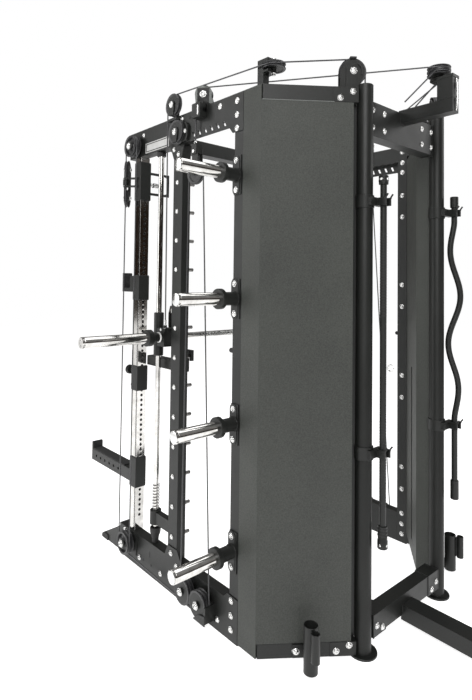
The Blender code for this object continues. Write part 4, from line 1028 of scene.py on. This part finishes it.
def rear_frames():
    """Bolts of the rear beams, the clamps at their ends, and the cap of the long leg."""
    bolts, sleeves, caps = Shape(), Shape(), Shape()
    for side in (-1, 1):
        for x, z in ((0.192, 0.068), (0.230, 0.088)):
            bolts.bolt((x * side, 0.4900, z), (0, -1, 0))
            bolts.bolt((x * side, 0.5560, z), (0, 1, 0))
        for x in (0.150, 0.232):
            bolts.bolt((x * side, 0.4700, 2.080), (0, -1, 0))
            bolts.bolt((x * side, 0.5300, 2.115), (0, 1, 0))
            bolts.bolt((x * side, 0.5300, 2.045), (0, 1, 0))
        sleeves.box(sorted((0.2470 * side, 0.2525 * side)), (0.4890, 0.5570), (0.0460, 0.1340))
        sleeves.box(sorted((0.2440 * side, 0.2525 * side)), (0.4670, 0.5330), (2.0070, 2.1530))
    caps.box((-0.0390, 0.0390), (0.9740, 1.0620), (0.0004, 0.0275))
    caps.box((-0.0405, 0.0405), (1.0570, 1.0648), (0.0275, 0.0905))
    place(bolts, "rear_bolts", ZINC, pair=False)
    place(sleeves, "rear_sleeves", FRAME_PAINT, bevel=0.0010, pair=False)
    place(caps, "rear_leg_cap", RUBBER, bevel=0.0030, pair=False)


def lat_pulley():
    """Level double pulley on the rear arm, its bolt, and the grey cable end behind its post."""
    wheel, bolt, plates, end = Shape(), Shape(), Shape(), Shape()
    wheel.wheel(LAT_PULLEY, UP, 0.0470, 0.0402, 0.0170, grooves=2)
    bolt.hex_nut(LAT_PULLEY + UP * 0.0105, UP, 1.05)
    plates.ring(LAT_PULLEY - UP * 0.0190, UP, 0.0070, 0.0200, 0.0035)
    plates.box((-0.0265, 0.0265), (0.6925, 0.7620), (2.2445, 2.2570))
    plates.box((-0.0262, 0.0262), (0.6925, 0.7612), (2.1590, 2.1640))
    bow = ((0.7640, 2.240), (0.7665, 2.200), (0.7665, 2.150), (0.7640, 2.110))
    end.sweep([(0.0, y, z) for y, z in bow], CABLE_R, 12)
    for z in (2.212, 2.148):
        end.rod((0.0, 0.7665, z - 0.011), (0.0, 0.7665, z + 0.011), 0.0052, 16)
    place(wheel, "lat_wheel", NYLON, pair=False)
    place(bolt, "lat_bolt", ZINC, pair=False)
    place(plates, "lat_plates", FRAME_PAINT, bevel=0.0008, pair=False)
    place(end, "lat_cable_end", ZINC, pair=False)


def straight_bar():
    """Stored straight cable bar: tube, end fittings, eye and grip rings."""
    x, y = STRAIGHT_BAR
    tube, ends, steel = Shape(), Shape(), Shape()
    tube.turned(
        [(0.0, 0.0180), (0.0020, 0.0198), (0.0300, 0.0198), (0.0335, 0.0180), (0.0840, 0.0178),
         (0.0855, 0.0128), (1.4020, 0.0128), (1.4035, 0.0185), (1.4360, 0.0188), (1.4380, 0.0170)],
        (x, y, 0.400), UP, 40,
    )
    for z in (0.450, 0.462, 0.474, 1.818):
        ends.ring((x, y, z), UP, 0.0170, 0.0196, 0.0060, 32)
    for z in (0.415, 1.823):
        steel.bolt((x + 0.0172, y, z), RIGHT, 0.55)
        steel.bolt((x, y + 0.0172, z), (0, 1, 0), 0.55)
    for index in range(30):
        ends.ring((x, y, 1.290 + index * 0.011), UP, 0.0120, 0.01325, 0.0065, 24)
        ends.ring((x, y, 0.560 + index * 0.011), UP, 0.0120, 0.01325, 0.0065, 24)
    steel.ring((x, y + 0.0330, 1.090), RIGHT, 0.0100, 0.0150, 0.0080, 32)
    place(tube, "straight_bar_tube", FRAME_PAINT, body="straight_bar", replaces=("straight_bar",), pair=False)
    place(ends, "straight_bar_grips", RUBBER, body="straight_bar", pair=False)
    place(steel, "straight_bar_steel", ZINC, body="straight_bar", pair=False)


def curl_bar():
    """Stored cambered bar: one smooth tube with a double wave, and its end sleeves."""
    x, y = CURL_BAR
    points = [(x, y, 0.450), (x, y, 0.600), (x, y, 0.700), (x, y, 0.780)]
    steps = 72
    for step in range(steps + 1):
        share = step / steps
        swing = 0.030 * math.sin(4 * math.pi * share) * max(math.sin(math.pi * share), 0.0) ** 0.5
        points.append((x + ALONG.x * swing, y + ALONG.y * swing, 0.800 + 0.900 * share))
    points += [(x, y, 1.720), (x, y, 1.760), (x, y, 1.810)]
    tube, ends = Shape(), Shape()
    tube.sweep(points, 0.0130, 28)
    for z, tall in ((0.436, 0.0850), (1.770, 0.0500)):
        profile = [(0.0, 0.0160), (0.0020, 0.0181), (tall - 0.0020, 0.0181), (tall, 0.0160)]
        ends.turned(profile, (x, y, z), UP, 40)
    place(tube, "curl_bar_tube", FRAME_PAINT, body="curl_bar", replaces=("curl_bar",), pair=False)
    place(ends, "curl_bar_ends", FRAME_PAINT, body="curl_bar", pair=False)


# ---------------------------------------------------------------- weight stacks

def stack_corner(along, outward):
    """A point by the stack's middle, measured along the angled corner and out of it."""
    point = STACK + ALONG * along + OUTWARD * outward
    return (point.x, point.y)


def weight_stacks():
    """Separate resting plates with their gaps, smooth rods, cushions and the lifting head."""
    plates, rods, cushions, head = Shape(), Shape(), Shape(), Shape()
    count = 20
    low, high = 0.110, 0.930
    pitch = (high - low) / count
    corners = ((-0.139, -0.043), (0.139, -0.043), (0.139, 0.043), (-0.139, 0.043))
    outline = [stack_corner(along, outward) for along, outward in corners]
    for index in range(count):
        z = low + index * pitch
        plates.prism(outline, "z", z + 0.0012, z + pitch - 0.0012)
    for along in (-0.095, 0.095):
        x, y = stack_corner(along, 0.0)
        rods.rod((x, y, 0.012), (x, y, 2.110), 0.0100, 32)
        cushion = [(0.0, 0.020), (0.003, 0.0222), (0.044, 0.0222), (0.047, 0.020)]
        cushions.turned(cushion, (x, y, 0.062), UP, 32)
    place(plates, "stack_plates", IRON, bevel=0.0018, replaces=("weight_stack_r",))
    place(rods, "stack_rods", CHROME)
    place(cushions, "stack_cushions", RUBBER)
    x, y = stack_corner(0.0, 0.0)
    head.ring((x, y, 1.0290), (*ALONG, 0.0), 0.0055, 0.0100, 0.0060, 28)
    head.hex_nut((x, y, 0.9725), UP, 1.1)
    place(head, "stack_eye", ZINC, body="stack_head_r")


# ---------------------------------------------------------------- cables

def loop_points():
    """The trainer loop's path round the front top and front bottom pulleys."""
    top = arc((PULLEY_Y, TOP_PULLEY_Z), RUN_R, 0.0, 180.0, 28)
    bottom = arc((PULLEY_Y, LOW_PULLEY_Z), RUN_R, 180.0, 360.0, 28)
    return [(0.676, y, z) for y, z in top + bottom]


def fixed_cables():
    """Smooth cables on the frame; each replaces its straight-sided node."""
    loop = Shape()
    points = loop_points()
    loop.sweep(points + [points[0]], CABLE_R, 14)
    place(loop, "trainer_line", JACKET, replaces=("trainer_cable_r",))
    stack = Shape()
    points = [(0.662, y, z) for y, z in arc((PULLEY_Y, LOW_PULLEY_Z), RUN_R, 196.0, 270.0, 12)]
    points += [(0.662, y, z) for y, z in arc((0.001, 0.085), RUN_R + 0.0006, 270.0, 355.0, 14)]
    points += [(0.640, y, z) for y, z in arc(FLOATING_PULLEY.yz, RUN_R, 5.0, 175.0, 24)]
    points.append((0.655, FLOATING_PULLEY.y - RUN_R + 0.004, 0.150))
    stack.sweep(points, CABLE_R, 14)
    place(stack, "stack_line", JACKET, replaces=("stack_cable_r",))


def lat_cables():
    """Line from the floating pulley's block over the rear top pulley to the lat pulley."""
    drop = REAR_PULLEY.xy - REAR_ALONG * 0.0345
    turn = math.degrees(math.atan2(REAR_AXIS.y, REAR_AXIS.x))
    for side, name, height in ((1.0, "r", 2.294), (-1.0, "l", 2.280)):
        points = [(*drop, 2.012)]
        for a, b in arc((0.0, 0.0), 0.0345, 180.0, 94.0, 14):
            level = REAR_PULLEY.xy + REAR_ALONG * a
            points.append((level.x, level.y, REAR_PULLEY.z + b))
        points += [(x, y, height) for x, y in arc(LAT_PULLEY.xy, 0.0432, turn, turn + 130.0, 18)]
        points.append((-0.0432, 0.560, 2.185))
        shape, block, wheel, steel = Shape(), Shape(), Shape(), Shape()
        flipped = [(x * side, y, z) for x, y, z in points]
        shape.sweep(flipped, CABLE_R, 14)
        place(shape, "lat_line_" + name, JACKET, replaces=("lat_cable_" + name,), pair=False)
        x = FLOATING_PULLEY.x * side
        block.box(sorted((x - 0.0130 * side, x + 0.0225 * side)), (-0.116, -0.080), (1.9740, 2.0195))
        for near, far in ((0.0105, 0.0150), (-0.0140, -0.0105)):
            block.box(sorted((x + near * side, x + far * side)), (-0.122, -0.078), (1.8840, 1.9980))
        steel.rod((x + 0.020 * side, -0.098, 1.985), (x + 0.027 * side, -0.098, 1.985), 0.0075, 24)
        steel.ring((0.652 * side, -0.0986, 2.024), RIGHT, 0.0060, 0.0090, 0.0060, 24)
        place(block, "floating_block_" + name, FRAME_PAINT, bevel=0.0014, pair=False)
        wheel.wheel(Vector((x, *FLOATING_PULLEY.yz)), RIGHT, 0.0550, 0.0480, 0.0095)
        place(wheel, "floating_wheel_" + name, NYLON, pair=False)
        place(steel, "floating_steel_" + name, ZINC, pair=False)


def smith_cables():
    """Line from each carriage over the beam pulleys to the rear post."""
    start = Vector((0.650, -0.316, 1.2066))
    top = Vector((0.655, -0.3165, 2.060))
    steps = 40
    points = [start.lerp(top, step / steps) for step in range(steps + 1)]
    points += [(0.655, y, z) for y, z in arc(BEAM_PULLEY.yz, 0.0485, 180.0, 100.0, 14)]
    points += [(x, y, FLAT_PULLEY.z) for x, y in arc(FLAT_PULLEY.xy, 0.0435, 4.0, 57.6, 12)]
    for a, b in arc((0.0, 0.0), RUN_R, 96.0, 0.0, 16):
        points.append((*(POST_PULLEY.xy + ALONG * a), POST_PULLEY.z + b))
    points.append((*(POST_PULLEY.xy + ALONG * RUN_R), 2.2006))
    for side, name in ((1.0, "r"), (-1.0, "l")):
        shape = Shape()
        shape.sweep([(p[0] * side, p[1], p[2]) for p in points], CABLE_R, 14)
        node = "smith_cable_" + name
        line = place(shape, "smith_line_" + name, JACKET, body=None, replaces=(node,), pair=False)[0]
        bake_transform(line)


# ---------------------------------------------------------------- light and camera

def camera():
    """Camera at the picture's viewing angle."""
    turn, pitch, roll = math.radians(138.6984), math.radians(1.8335), math.radians(0.7138)
    back = Vector((math.sin(turn), -math.cos(turn), 0.0))
    ahead = -back * math.cos(pitch) + UP * math.sin(pitch)
    right = (-back).cross(UP)
    up = back * math.sin(pitch) + UP * math.cos(pitch)
    side = right * math.cos(roll) + up * math.sin(roll)
    top = -right * math.sin(roll) + up * math.cos(roll)
    data = bpy.data.cameras.new("camera")
    data.sensor_width = 36.0
    data.lens = 26.75
    data.shift_y = -0.1229
    obj = bpy.data.objects.new("camera", data)
    bpy.context.scene.collection.objects.link(obj)
    facing = Matrix((side, top, -ahead)).transposed().to_4x4()
    obj.matrix_world = Matrix.Translation((2.0155, 1.7333, 1.419)) @ facing
    bpy.context.scene.camera = obj


def area_light(name, location, target, size, power):
    """A rectangular lamp that faces a point."""
    data = bpy.data.lights.new(name, "AREA")
    data.shape = "RECTANGLE"
    data.size, data.size_y = size
    data.energy = power
    obj = bpy.data.objects.new(name, data)
    bpy.context.scene.collection.objects.link(obj)
    obj.location = location
    obj.rotation_euler = (Vector(target) - Vector(location)).to_track_quat("-Z", "Y").to_euler()


def world():
    """White to the camera; a soft studio for everything else, with a dim warm band near the horizon."""
    made = bpy.data.worlds.new("studio")
    made.use_nodes = True
    bpy.context.scene.world = made
    tree = made.node_tree
    tree.nodes.clear()
    position = tree.nodes.new("ShaderNodeTexCoord").outputs["Generated"]
    split = tree.nodes.new("ShaderNodeSeparateXYZ")
    tree.links.new(position, split.inputs["Vector"])
    height = between(tree, split.outputs["Z"], 0.0, 1.0)
    height.node.inputs["From Min"].default_value = -1.0
    bands = tree.nodes.new("ShaderNodeValToRGB")
    tree.links.new(height, bands.inputs["Fac"])
    stops = ((0.0, (0.30, 0.29, 0.28)), (0.46, (0.34, 0.31, 0.28)), (0.495, (0.055, 0.035, 0.022)),
             (0.575, (0.060, 0.040, 0.028)), (0.64, (0.55, 0.53, 0.51)), (1.0, (0.80, 0.80, 0.80)))
    while len(bands.color_ramp.elements) < len(stops):
        bands.color_ramp.elements.new(0.5)
    for element, (place_on, colour) in zip(bands.color_ramp.elements, stops):
        element.position = place_on
        element.color = (*colour, 1.0)
    studio = add(tree, "ShaderNodeBackground", Strength=0.36)
    tree.links.new(bands.outputs["Color"], studio.inputs["Color"])
    white = add(tree, "ShaderNodeBackground", Color=(1.0, 1.0, 1.0, 1.0), Strength=1.0)
    mix = tree.nodes.new("ShaderNodeMixShader")
    path = tree.nodes.new("ShaderNodeLightPath")
    out = tree.nodes.new("ShaderNodeOutputWorld")
    tree.links.new(path.outputs["Is Camera Ray"], mix.inputs["Fac"])
    tree.links.new(studio.outputs[0], mix.inputs[1])
    tree.links.new(white.outputs[0], mix.inputs[2])
    tree.links.new(mix.outputs[0], out.inputs["Surface"])


def studio_floor():
    """Plain white floor that keeps only the soft contact shadows."""
    material = bpy.data.materials.new("floor_white")
    material.use_nodes = True
    shader = material.node_tree.nodes["Principled BSDF"]
    shader.inputs["Base Color"].default_value = (0.80, 0.80, 0.80, 1.0)
    shader.inputs["Roughness"].default_value = 0.9
    shader.inputs["Specular IOR Level"].default_value = 0.0
    shader.inputs["Emission Color"].default_value = (1.0, 1.0, 1.0, 1.0)
    shader.inputs["Emission Strength"].default_value = 0.85
    shape = Shape()
    shape.box((-14.0, 14.0), (-14.0, 14.0), (-0.02, -0.0005))
    mesh = bpy.data.meshes.new("floor")
    shape.bm.to_mesh(mesh)
    shape.bm.free()
    mesh.materials.append(material)
    obj = bpy.data.objects.new("floor", mesh)
    bpy.context.scene.collection.objects.link(obj)


def lights():
    """Four soft lamps round and above the machine."""
    area_light("key", (3.6, 3.2, 4.2), (0.0, 0.0, 1.0), (3.0, 3.0), 175.0)
    area_light("fill", (3.9, -2.6, 2.4), (0.0, 0.0, 1.2), (2.4, 3.4), 80.0)
    area_light("rim", (-3.6, 2.6, 3.0), (0.0, 0.0, 1.2), (2.0, 3.0), 40.0)
    area_light("top", (0.0, 0.0, 5.2), (0.0, 0.0, 0.0), (4.0, 4.0), 100.0)


PIECES = (
    plate_bolts, inner_bolts, plate_details, corner_brackets, label_plate, horns, bar_sockets,
    beam_pulleys, rear_top_pulleys, flat_pulleys, post_pulleys, base_pulleys, front_pulleys, front_feet,
    guide_rods, bumper_springs, smith_uprights, smith_sleeves, smith_bars, smith_carriages,
    sliding_sleeves, trolley_details, swivel_heads, hook_details, safety_stops, upright_marks,
    rear_posts, rear_frames, lat_pulley, straight_bar, curl_bar, weight_stacks,
    fixed_cables, lat_cables, smith_cables,
)

dress_cad_nodes()
for build in PIECES:
    build()
camera()
world()
studio_floor()
lights()
bpy.context.scene.view_settings.view_transform = "Standard"
